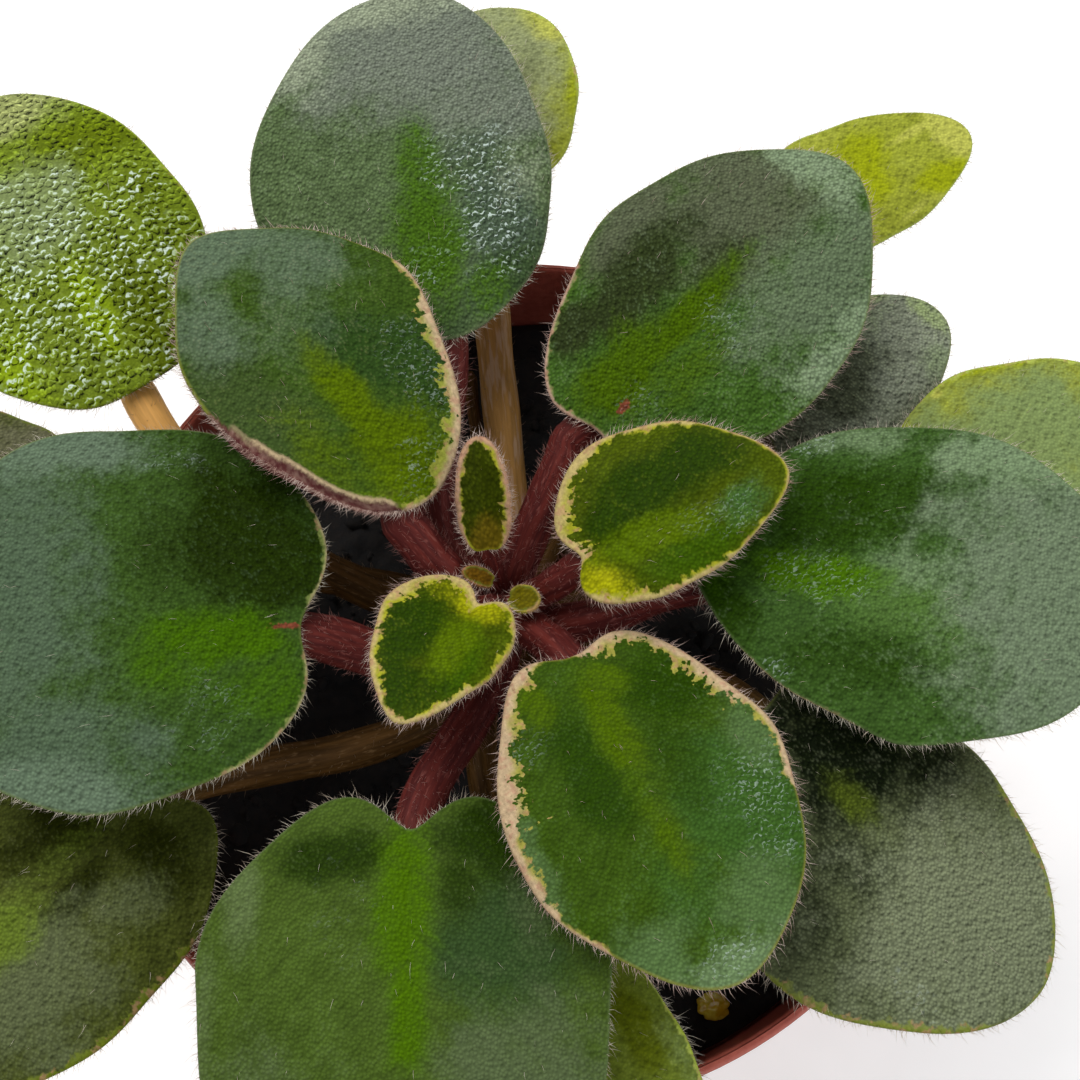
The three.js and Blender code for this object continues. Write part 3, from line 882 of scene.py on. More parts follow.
@dataclass(frozen=True)
class Leaf:
    """A blade with its colours, its skin's relief and its hairs."""

    form: BladeForm
    finish: LeafFinish
    slot: str
    patches: tuple[Patch, ...] = ()
    borders: tuple[Border, ...] = ()
    turned: tuple[Border, ...] = ()
    cell: float = 0.4
    hair_length: float = 1.25
    hair_gap: float = 0.2
    fuzz_gap: float = 0.11
    surface_hairs: float = 0.05

    @property
    def seed(self) -> int:
        """Returns a number of the leaf's own for its random draws."""
        return sum(self.form.name.encode()) + 7 * int(self.form.length)

    def vein_way(self, s: Array, t: Array) -> tuple[Array, Array]:
        """Returns a coordinate that is even along each side vein, and the veins' spacing."""
        spacing = self.form.length / SIDE_VEINS
        shift = np.where(t > 0, VEIN_SHIFT, -VEIN_SHIFT) * spacing
        return s - VEIN_LEAN * np.abs(t) - VEIN_BOW * t**2 + shift, spacing

    def relief(self, s: Array, t: Array, inward: Array) -> Array:
        """Returns the height of the upper face's veins, quilting and pebbles, in millimetres."""
        form = self.form
        size = min(1.0, form.width / FULL_SIZE)
        fade = smooth(inward, 0.0, 3.0 * size)
        run = np.clip(1 - s / form.length, 0, 1)
        rib = -RIB_DEPTH * size * np.exp(-((t / (0.6 * size + 0.2)) ** 2)) * run**0.6
        way, spacing = self.vein_way(s, t)
        turn = way / spacing - np.round(way / spacing)
        veins = -VEIN_DEPTH * size * np.exp(-((turn * spacing / VEIN_WIDTH) ** 2))
        quilt = -VEIN_DEPTH * size * np.cos(2 * math.pi * turn)
        pebbles = PEBBLE_HEIGHT * ripples(s, t, PEBBLE_SIZE, self.seed)
        swells = SWELL_HEIGHT * size * ripples(s, t, SWELL_SIZE, self.seed + 1)
        return fade * (rib + veins + quilt + (pebbles + swells))

    def mask(self, tint: Tint, s: Array, t: Array) -> Array:
        """Returns how strongly a tint's patches cover each place, from 0 to 1."""
        form = self.form
        swirl = 0.14 * ripples(s, t, 8.0, self.seed + 5)
        swirl = swirl + 0.06 * ripples(s, t, 2.5, self.seed + 6)
        cover = np.zeros_like(s)
        for patch in self.patches:
            if patch.tint is tint:
                ds, dt = s - patch.s * form.length, t - patch.side * form.width / 2
                turn = math.radians(patch.turn)
                along = (ds * math.cos(turn) + dt * math.sin(turn)) / patch.long
                across = (dt * math.cos(turn) - ds * math.sin(turn)) / patch.wide
                away = np.hypot(along, across) + swirl
                cover = np.maximum(cover, patch.strength * smooth(away, PATCH_REACH, PATCH_CORE))
        return cover

    def border_width(self, theta: Array, borders: Sequence[Border]) -> Array:
        """Returns the width of a border made of stretches at each direction, in millimetres."""
        width = np.zeros_like(theta)
        for border in borders:
            away = np.degrees(theta) - border.middle
            away = np.abs((away + 180) % 360 - 180)
            width = np.maximum(width, border.width * smooth(away, border.half, 0.75 * border.half))
        return width

    def make_blade(self) -> bpy.types.Object:
        """Makes the blade that stands for the part's own."""
        form, grown = self.form, self.form.growth
        columns = max(FEWEST_COLUMNS, round(form.length / self.cell))
        rows = max(FEWEST_ROWS, round(form.width / self.cell))
        pattern = leaf_pattern(columns, rows)
        x, y, layer = coordinates(pattern).T
        u, v = x * np.sqrt(1 - y**2 / 2), y * np.sqrt(1 - x**2 / 2)
        rho, theta = np.hypot(u, v), np.arctan2(v, u)
        reach = form.outline(theta)
        rounding = EDGE_ROUND * min(1.0, form.width / 12)
        share = np.where(np.abs(layer) > TOP_LAYER, 1.0, 0.35 * np.abs(layer))
        shrink = 1 - (rounding / reach) * share * rho**4
        u, v = u * shrink, v * shrink
        s, t = form.on_disc(u, v)
        inward = (1 - rho * shrink) * reach
        half = (grown.rib + (grown.edge - grown.rib) * rho**2) / 2
        offset = half * np.sign(layer) * np.abs(layer) ** 0.7
        offset = offset + np.where(layer > TOP_LAYER, self.relief(s, t, inward), 0.0)
        run = np.clip(1 - s / form.length, 0, 1)
        keel = KEEL_HEIGHT * np.exp(-((t / KEEL_WIDTH) ** 2)) * run * smooth(inward, 0.2, 2.0)
        offset = offset - np.where(layer < -TOP_LAYER, keel, 0.0)
        turned = self.border_width(theta, self.turned)
        drop = TURN_DROP * smooth(turned - inward, -0.3, 0.9)
        crest = TURN_CREST * np.exp(-(((inward - turned - 0.3) / 0.4) ** 2))
        offset = offset - (drop - crest) * smooth(turned, 0.1, 0.6)
        places = form.surface(u, v) + form.normals(u, v) * offset[:, None]
        way, _ = self.vein_way(s, t)
        zero = np.zeros_like(s)
        marks = {tint.value: self.mask(tint, s, t) for tint in Tint}
        arc = theta * (form.length + form.width) / 4
        piece = Assembly(form.name)
        piece.add(
            pattern,
            places,
            flat=np.stack([s, t, zero + 0.37 * (self.seed % 50)], axis=-1),
            vein=np.stack([way, np.abs(t), np.sign(t)], axis=-1),
            border=np.stack([arc, inward, self.border_width(theta, self.borders)], axis=-1),
            turned=turned,
            edge=inward,
            under=np.where(layer < -0.3, 1.0, 0.0),
            **marks,
        )
        blade = piece.make(self.finish.material("skin_" + form.name), self.slot)
        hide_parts(form.name)
        return blade

    def margin_hairs(self, draw: Draw, gap: float, reach: float, root: float) -> "Hairs":
        """Returns hairs that stand out from the edge.

        Args:
            draw: Source of the random draws.
            gap: Distance between hairs along the edge, in millimetres.
            reach: Usual length, in millimetres.
            root: Usual radius at the root, in millimetres.

        Returns:
            The hairs.
        """
        form = self.form
        fine = np.linspace(-math.pi, math.pi, 721)
        ring = form.surface(np.cos(fine), np.sin(fine))
        steps = np.linalg.norm(np.diff(ring, axis=0), axis=1)
        gone = np.concatenate([[0], np.cumsum(steps)])
        count = int(gone[-1] / gap)
        theta = np.interp((np.arange(count) + draw.uniform(0, 1, count)) * gap, gone, fine)
        rho = draw.uniform(*EDGE_BAND, count)
        u, v = rho * np.cos(theta), rho * np.sin(theta)
        normal = form.normals(u, v)
        ahead = form.surface(np.cos(theta + 0.01), np.sin(theta + 0.01))
        ahead = unit(ahead - form.surface(np.cos(theta - 0.01), np.sin(theta - 0.01)))
        outward = unit(np.cross(ahead, normal))
        tip_way = np.sign(-np.sin(theta))[:, None] * ahead
        lean = draw.normal(0.15, 0.45, (count, 1)) * tip_way
        rise = draw.normal(0.15, 0.5, (count, 1)) * normal
        way = unit(outward + lean + rise)
        curve = 0.45 * tip_way + draw.normal(0, 0.3, (count, 3)) - HAIR_DROOP
        length = reach * draw.uniform(*HAIR_LENGTHS, count)
        height = draw.uniform(-0.3, 0.3, (count, 1))
        roots = form.surface(u, v) - EDGE_HAIR_SINK * outward + normal * height
        return Hairs(roots, way, curve, length, root * draw.uniform(*HAIR_THICKNESS, count))

    def face_hairs(self, draw: Draw) -> "Hairs":
        """Returns the thin hairs scattered over the upper face."""
        form, grown = self.form, self.form.growth
        count = int(self.surface_hairs * form.length * form.width)
        rho, theta = np.sqrt(draw.uniform(0.0, 0.97, count)), draw.uniform(-math.pi, math.pi, count)
        u, v = rho * np.cos(theta), rho * np.sin(theta)
        normal = form.normals(u, v)
        turn = math.radians(form.heading)
        forward = np.array([math.cos(turn), math.sin(turn), 0.0])
        way = unit(0.8 * normal + 0.6 * forward + draw.normal(0, 0.45, (count, 3)))
        curve = 0.5 * forward + draw.normal(0, 0.25, (count, 3)) - FACE_HAIR_DROOP
        half = (grown.rib + (grown.edge - grown.rib) * rho**2) / 2
        roots = form.surface(u, v) + normal * (half - SKIN_HAIR_SINK)[:, None]
        length = self.hair_length * draw.uniform(*FACE_HAIR_LENGTHS, count)
        return Hairs(roots, way, curve, length, draw.uniform(*FACE_HAIR_RADII, count))

    def make_hairs(self, material: bpy.types.Material) -> bpy.types.Object:
        """Makes the blade's hairs as one piece."""
        draw = np.random.default_rng(self.seed)
        piece = Assembly(self.form.name.replace("blade", "hairs"))
        fuzz = FUZZ_SHARE * self.hair_length
        self.margin_hairs(draw, self.hair_gap, self.hair_length, HAIR_ROOT).add_to(piece, rings=2)
        self.margin_hairs(draw, self.fuzz_gap, fuzz, FUZZ_ROOT).add_to(piece, rings=1)
        self.face_hairs(draw).add_to(piece, rings=2)
        return piece.make(material, self.slot)


@dataclass(frozen=True)
class Hairs:
    """Curved, tapering hairs, each row of the arrays for one. Millimetres."""

    roots: Array
    ways: Array
    curves: Array
    lengths: Array
    radii: Array

    def add_to(self, piece: Assembly, rings: int) -> None:
        """Adds the hairs to a piece as thin three-sided cones.

        Args:
            piece: The piece.
            rings: Bends along each hair.
        """
        count = len(self.roots)
        pattern = tube_pattern(3, rings, pointed=True)
        mould = coordinates(pattern)
        share = (mould[:, 2] / rings)[None, :, None]
        length = self.lengths[:, None, None]
        spine = self.roots[:, None] + self.ways[:, None] * length * share
        spine = spine + self.curves[:, None] * length * share**2
        side = unit(np.cross(self.ways, [0.31, 0.52, 0.79]))
        other = np.cross(self.ways, side)
        radius = self.radii[:, None, None] * (1 - share) ** 0.5
        ring = mould[None, :, 0:1] * side[:, None] + mould[None, :, 1:2] * other[:, None]
        piece.add(many(pattern, count), (spine + radius * ring).reshape(-1, 3))


RIPENING = 0.15
CURVE_POINTS, KEEL_POINTS = 61, 20
LEAVING_REACH, LEAVING_RISE, ARRIVING_REACH = 0.35, 0.4, 0.3
KEEL_TAPER = 0.5
ROOT_SWELL, ROOT_FADE = 0.35, 8.0
RIDGE_HEIGHT, KNOB_HEIGHT = 0.04, 0.03
STALK_HAIR_LENGTHS, STALK_HAIR_RADII = (0.4, 1.0), (0.022, 0.034)


@dataclass(frozen=True)
class Stalk:
    """The stalk that carries one blade, along the part's own line.

    Ripe says how far it has turned ochre past the share ripe_from of its length.
    """

    form: BladeForm
    ripe: float = 0.0
    ripe_from: float = 0.0
    sides: int = 16
    rings: int = 44

    def under(self, share: float) -> Array:
        """Returns a place on the keel's line under the rib."""
        grown = self.form.growth
        ahead, aside = self.form.joint
        s = np.array(share * KEEL_SHARE * self.form.length + (1 - share) * ahead)
        t = np.array((1 - share) * aside)
        radius = grown.stalk * (1 - KEEL_TAPER * share)
        return self.form.place(s, t, np.array(-(grown.rib / 2 + KEEL_GAP + radius)))

    def line(self) -> tuple[Array, Array]:
        """Returns evenly spaced places along the stalk, and the share of the way at each."""
        form = self.form
        notch, root = self.under(0.0), np.array([*STEM, form.root])
        outward = np.array([notch[0] - root[0], notch[1] - root[1], 0.0])
        distance = float(np.linalg.norm(outward))
        outward = outward / distance
        slope = math.radians(form.pitch + STALK_STEEPER)
        heading = math.radians(form.heading + form.swing)
        level = math.cos(slope)
        back = -np.array([math.cos(heading) * level, math.sin(heading) * level, math.sin(slope)])
        leaving = root + LEAVING_REACH * distance * outward
        leaving[2] = root[2] + (notch[2] - root[2]) * LEAVING_RISE - form.sag
        leaving = leaving + form.bend * np.array([outward[1], -outward[0], 0.0])
        arriving = notch + ARRIVING_REACH * distance * back
        k = np.linspace(0, 1, CURVE_POINTS)[:, None]
        curve = root * (1 - k) ** 3 + 3 * leaving * k * (1 - k) ** 2
        curve = curve + 3 * arriving * k**2 * (1 - k) + notch * k**3
        keel = np.array([self.under(share) for share in np.linspace(0.05, 1, KEEL_POINTS)])
        points = np.concatenate([curve, keel])
        gone = np.concatenate([[0], np.cumsum(np.linalg.norm(np.diff(points, axis=0), axis=1))])
        share = np.linspace(0, 1, self.rings + 1)
        at = share * gone[-1]
        return np.stack([np.interp(at, gone, axis) for axis in points.T], axis=-1), share

    def frames(self) -> tuple[Array, Array, Array, Array, Array, float]:
        """Returns the line, its shares, its sideways and upward directions, radii and length."""
        points, share = self.line()
        length = float(np.linalg.norm(np.diff(points, axis=0), axis=1).sum())
        along = unit(np.gradient(points, axis=0))
        side = unit(np.cross(along, [0.0, 0.0, 1.0]))
        above = np.cross(side, along)
        keel_start = 1 - KEEL_SHARE * self.form.length / length
        keel = np.clip((share - keel_start) / (1 - keel_start), 0, 1)
        thick = self.form.growth.stalk
        swell = ROOT_SWELL * thick * np.exp(-ROOT_FADE * share)
        radius = thick * (1 - KEEL_TAPER * keel) + swell
        return points, share, side, above, radius, length

    def add_to(self, piece: Assembly) -> None:
        """Adds the stalk to a piece."""
        pattern = tube_pattern(self.sides, self.rings)
        x, y, ring = coordinates(pattern).T
        at = np.round(ring).astype(int)
        points, share, side, above, radius, length = self.frames()
        ends = np.minimum(1.0, np.sqrt(np.minimum(at, self.rings - at) / 2 + 0.02))
        angle = np.arctan2(y, x)
        gone = share[at]
        ridges = RIDGE_HEIGHT * np.sin(3 * angle + 9 * gone)
        knobs = KNOB_HEIGHT * np.sin(31 * gone + 2 * angle)
        size = (radius[at] * ends * (1 + ridges + knobs))[:, None]
        places = points[at] + size * (x[:, None] * side[at] + y[:, None] * above[at])
        flat = np.stack([angle * radius[at], gone * length, 3.0 * angle], axis=-1)
        ripe = self.ripe * smooth(gone, self.ripe_from, self.ripe_from + RIPENING)
        piece.add(pattern, places, flat=flat, along=gone, ripe=ripe)

    def add_hairs(self, piece: Assembly, draw: Draw, density: float, reach: float) -> None:
        """Adds the stalk's short hairs to a piece.

        Args:
            piece: The piece.
            draw: Source of the random draws.
            density: Hairs in a square millimetre.
            reach: Length of the longest, in millimetres.
        """
        points, share, side, above, radius, length = self.frames()
        count = int(density * length * 2 * math.pi * self.form.growth.stalk)
        at = draw.uniform(0.05, 0.95, count)
        angle = draw.uniform(0, 2 * math.pi, count)

        def pick(values: Array) -> Array:
            """Returns rows between those of the line, at the hairs' shares."""
            return np.stack([np.interp(at, share, values[:, i]) for i in range(3)], axis=-1)

        across = np.cos(angle)[:, None] * pick(side) + np.sin(angle)[:, None] * pick(above)
        thick = np.interp(at, share, radius)[:, None]
        forward = unit(pick(np.gradient(points, axis=0)))
        way = unit(across + 0.35 * forward + draw.normal(0, 0.3, (count, 3)))
        curve = 0.35 * forward + draw.normal(0, 0.25, (count, 3))
        roots = pick(points) + across * (thick - SKIN_HAIR_SINK)
        lengths = reach * draw.uniform(*STALK_HAIR_LENGTHS, count)
        radii = draw.uniform(*STALK_HAIR_RADII, count)
        Hairs(roots, way, curve, lengths, radii).add_to(piece, rings=2)


# Pot and soil


POT_HEIGHT = 88.0
RIM_RADIUS = 52.8
BASE_RADIUS = 37.0
WALL = 1.2
FLOOR = 2.0
LIP_WIDTH = 1.5
LIP_DROP = 1.6
SHELF = 71.0
COLLAR_STEP = 2.2
COLLAR_TAPER = 0.9
SHARP_ANGLE = 0.5
CRUMB_FLATNESS = 0.75
# Height, size and seed of each set of lumps on the bed
BED_LUMPS = ((0.35, 3.1, 11), (0.28, 1.6, 12))
SOIL_TOP = 75.0
SOIL_CLEAR = 0.45


def inner_radius(height: float) -> float:
    """Returns the radius of the pot's inner wall at a height."""
    mouth = RIM_RADIUS - LIP_WIDTH
    if height > SHELF:
        return mouth - COLLAR_TAPER * (POT_HEIGHT - height) / (POT_HEIGHT - SHELF)
    foot = mouth - COLLAR_TAPER - COLLAR_STEP
    return BASE_RADIUS - WALL + (foot - BASE_RADIUS + WALL) * height / SHELF


def spun(profile: Sequence[tuple[float, float]], steps: int) -> bmesh.types.BMesh:
    """Turns a profile of radius and height about +Z into a closed bmesh, in millimetres."""
    bm = bmesh.new()
    points = [bm.verts.new((radius, 0.0, height)) for radius, height in profile]
    for first, second in zip(points, points[1:]):
        bm.edges.new((first, second))
    turn = {"cent": (0, 0, 0), "axis": (0, 0, 1), "angle": 2 * math.pi, "steps": steps}
    bmesh.ops.spin(bm, geom=bm.verts[:] + bm.edges[:], use_merge=True, use_duplicate=False, **turn)
    bmesh.ops.remove_doubles(bm, verts=bm.verts[:], dist=1e-4)
    bmesh.ops.recalc_face_normals(bm, faces=bm.faces[:])
    return bm


@dataclass(frozen=True)
class Pot:
    """The round plastic pot: tapered wall, collar, rolled lip and drain holes. Millimetres."""

    finish: GrainFinish
    steps: int = 144
    corner: float = 0.4
    bevel: float = 0.25
    drain_count: int = 5
    drain_radius: float = 3.5
    drain_ring: float = 25.0

    def profile(self) -> list[tuple[float, float]]:
        """Returns the wall's outline: up the outside, over the lip and down the inside."""
        mouth, shelf_top, corner = RIM_RADIUS - LIP_WIDTH, SHELF + WALL, self.corner
        collar_foot = mouth - COLLAR_TAPER + WALL
        foot = inner_radius(SHELF) + WALL
        lip = []
        for angle in np.radians([84, 66, 48, 32, 16]):
            radius = RIM_RADIUS - LIP_WIDTH * (1 - math.sin(angle)) * 0.6
            lip.append((radius, POT_HEIGHT - LIP_DROP * (1 - math.cos(angle))))
        return [
            (0, 0),
            (BASE_RADIUS - 5.0, 0),
            (BASE_RADIUS - 2 * corner, 0),
            (BASE_RADIUS, 2 * corner),
            (foot, SHELF),
            (collar_foot - corner, SHELF),
            (collar_foot, SHELF + corner),
            (mouth + WALL - corner / 2, POT_HEIGHT - LIP_DROP - corner),
            (RIM_RADIUS, POT_HEIGHT - LIP_DROP),
            *lip,
            (mouth + corner, POT_HEIGHT),
            (mouth + 0.1 * corner, POT_HEIGHT - corner),
            (inner_radius(shelf_top + corner), shelf_top + corner),
            (inner_radius(shelf_top) - corner, shelf_top),
            (inner_radius(SHELF) + corner, shelf_top),
            (inner_radius(SHELF), shelf_top - 2 * corner),
            (inner_radius(FLOOR + corner), FLOOR + corner),
            (inner_radius(FLOOR) - corner, FLOOR),
            (0, FLOOR),
        ]

    def drilled(self, body: bpy.types.Object) -> bpy.types.Mesh:
        """Returns the pot's mesh with its drain holes cut."""
        bm = bmesh.new()
        for i in range(self.drain_count):
            angle = 2 * math.pi * i / self.drain_count
            place = (self.drain_ring * math.cos(angle), self.drain_ring * math.sin(angle), 0.0)
            size = {"radius1": self.drain_radius, "radius2": self.drain_radius, "depth": 4 * FLOOR}
            made = bmesh.ops.create_cone(bm, cap_ends=True, segments=40, **size)
            bmesh.ops.translate(bm, verts=made["verts"], vec=place)
        bmesh.ops.scale(bm, verts=bm.verts[:], vec=(MM, MM, MM))
        drill = bpy.data.objects.new("drill", keep_mesh(bm, "drill"))
        bpy.context.scene.collection.objects.link(drill)
        cut = body.modifiers.new("drains", "BOOLEAN")
        cut.operation, cut.object, cut.solver = "DIFFERENCE", drill, "EXACT"
        graph = bpy.context.evaluated_depsgraph_get()
        mesh = bpy.data.meshes.new_from_object(body.evaluated_get(graph))
        body.modifiers.clear()
        bpy.data.objects.remove(drill)
        return mesh

    def make(self) -> bpy.types.Object:
        """Makes the pot that stands for the part's own."""
        bm = spun(self.profile(), self.steps)
        bmesh.ops.scale(bm, verts=bm.verts[:], vec=(MM, MM, MM))
        skin = self.finish.material("pot_skin", Specular_IOR_Level=0.15)
        pot = show(keep_mesh(bm, "pot_turned"), skin)
        pot.data = self.drilled(pot)
        bm = bmesh.new()
        bm.from_mesh(pot.data)
        sharp = [e for e in bm.edges if e.is_manifold and e.calc_face_angle(0.0) > SHARP_ANGLE]
        bmesh.ops.bevel(
            bm, geom=sharp, offset=self.bevel * MM,
            segments=2, profile=0.5, affect="EDGES", material=-1,
        )
        bm.to_mesh(pot.data)
        bm.free()
        pot.data.shade_smooth()
        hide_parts("pot")
        return pot


@dataclass(frozen=True)
class Soil:
    """The potting soil, its loose crumbs and one amber grain. Millimetres."""

    finish: GrainFinish
    grain_finish: GrainFinish
    steps: int = 150
    rings: int = 44
    hole_radius: float = 6.0
    hole_depth: float = 9.0
    crumbs: int = 620
    crumb_reach: float = 49.0
    grain_at: tuple[float, float] = (22.6, -40.4)
    grain_size: tuple[float, float, float] = (1.9, 1.7, 1.3)

    def height(self, x: Array, y: Array) -> Array:
        """Returns the height of the soil's swelling surface, as in the part."""
        swell = 0.8 * np.sin(0.23 * x + 1.3) * np.cos(0.19 * y)
        return SOIL_TOP + swell + 0.5 * np.sin(0.47 * x - 0.39 * y + 0.7)

    def make_bed(self, material: bpy.types.Material) -> bpy.types.Object:
        """Makes the soil that stands for the part's own."""
        bottom, shelf = FLOOR + SOIL_CLEAR, SHELF + WALL + SOIL_CLEAR
        edge = inner_radius(SOIL_TOP) - SOIL_CLEAR
        across = np.linspace(edge, self.hole_radius, self.rings)
        profile = [
            (0, bottom),
            (inner_radius(bottom) - 4 * SOIL_CLEAR, bottom),
            (inner_radius(bottom + 2) - SOIL_CLEAR, bottom + 2),
            (inner_radius(SHELF) - SOIL_CLEAR, SHELF),
            (inner_radius(SHELF) - SOIL_CLEAR, shelf),
            (inner_radius(shelf) - SOIL_CLEAR, shelf),
            *[(float(radius), SOIL_TOP) for radius in across],
            (self.hole_radius, SOIL_TOP - self.hole_depth),
            (0, SOIL_TOP - self.hole_depth),
        ]
        bed = keep_mesh(spun(profile, self.steps), "soil_bed")
        x, y, z = coordinates(bed).T
        radius = np.hypot(x, y)
        inner = smooth(radius, edge, self.hole_radius) * (z > SOIL_TOP - self.hole_depth - 1)
        near = z > SOIL_TOP - 1
        x, y = x + STEM[0] * inner, y + STEM[1] * inner
        rough = sum(height * ripples(x, y, size, seed) for height, size, seed in BED_LUMPS)
        fade = smooth(radius, edge, edge - 1.5)
        fade = fade * smooth(radius, self.hole_radius, self.hole_radius + 1)
        z = np.where(near, self.height(x, y) + rough * fade, z)
        piece = Assembly("soil_fine")
        piece.add(bed, np.stack([x, y, z], axis=-1))
        made = piece.make(material, "soil")
        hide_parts("soil")
        return made

    def make_crumbs(self, material: bpy.types.Material) -> bpy.types.Object:
        """Makes the loose crumbs on the soil."""
        draw = np.random.default_rng(41)
        bm = bmesh.new()
        bmesh.ops.create_icosphere(bm, subdivisions=2, radius=1)
        pattern = keep_mesh(bm, "crumb")
        mould = coordinates(pattern)
        radius = self.crumb_reach * np.sqrt(draw.uniform(0.02, 1.0, self.crumbs))
        angle = draw.uniform(0, 2 * math.pi, self.crumbs)
        x, y = radius * np.cos(angle), radius * np.sin(angle)
        clear = np.hypot(x - STEM[0], y - STEM[1]) > self.hole_radius + 1.5
        clear &= np.hypot(x - self.grain_at[0], y - self.grain_at[1]) > 3.5
        x, y = x[clear], y[clear]
        count = len(x)
        size = draw.uniform(0.35, 1.0, (count, 1)) ** 1.5 * draw.uniform(0.7, 1.4, (count, 3))
        dents = 1 + draw.normal(0, 0.16, (count, len(mould)))
        middle = np.stack([x, y, self.height(x, y) + 0.1], axis=-1)
        shape = mould[None] * dents[:, :, None] * size[:, None]
        spin = draw.uniform(0, 2 * math.pi, count)[:, None]
        east = shape[..., 0] * np.cos(spin) - shape[..., 1] * np.sin(spin)
        north = shape[..., 0] * np.sin(spin) + shape[..., 1] * np.cos(spin)
        turned = np.stack([east, north, CRUMB_FLATNESS * shape[..., 2]], axis=-1)
        piece = Assembly("soil_crumbs")
        piece.add(many(pattern, count), (middle[:, None] + turned).reshape(-1, 3))
        return piece.make(material, "soil")

    def make_grain(self) -> bpy.types.Object:
        """Makes the amber grain that stands for the part's own."""
        bm = bmesh.new()
        bmesh.ops.create_icosphere(bm, subdivisions=4, radius=1)
        pattern = keep_mesh(bm, "grain")
        mould = coordinates(pattern)
        dents = 1 + 0.05 * ripples(3 * mould[:, 0], 3 * mould[:, 1] + mould[:, 2], 2.0, 5)
        size = np.array(self.grain_size)
        x, y = np.array(self.grain_at[0]), np.array(self.grain_at[1])
        middle = np.array([*self.grain_at, float(self.height(x, y)) + size[2] + 0.1])
        piece = Assembly("amber_grain")
        piece.add(pattern, middle + mould * size * dents[:, None])
        shine = {"Coat_Weight": 0.8, "Coat_Roughness": 0.08, "Transmission_Weight": 0.35}
        made = piece.make(self.grain_finish.material("amber_skin", **shine), "grain_amber")
        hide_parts("soil_grain_amber")
        return made


# The stalks and the stem


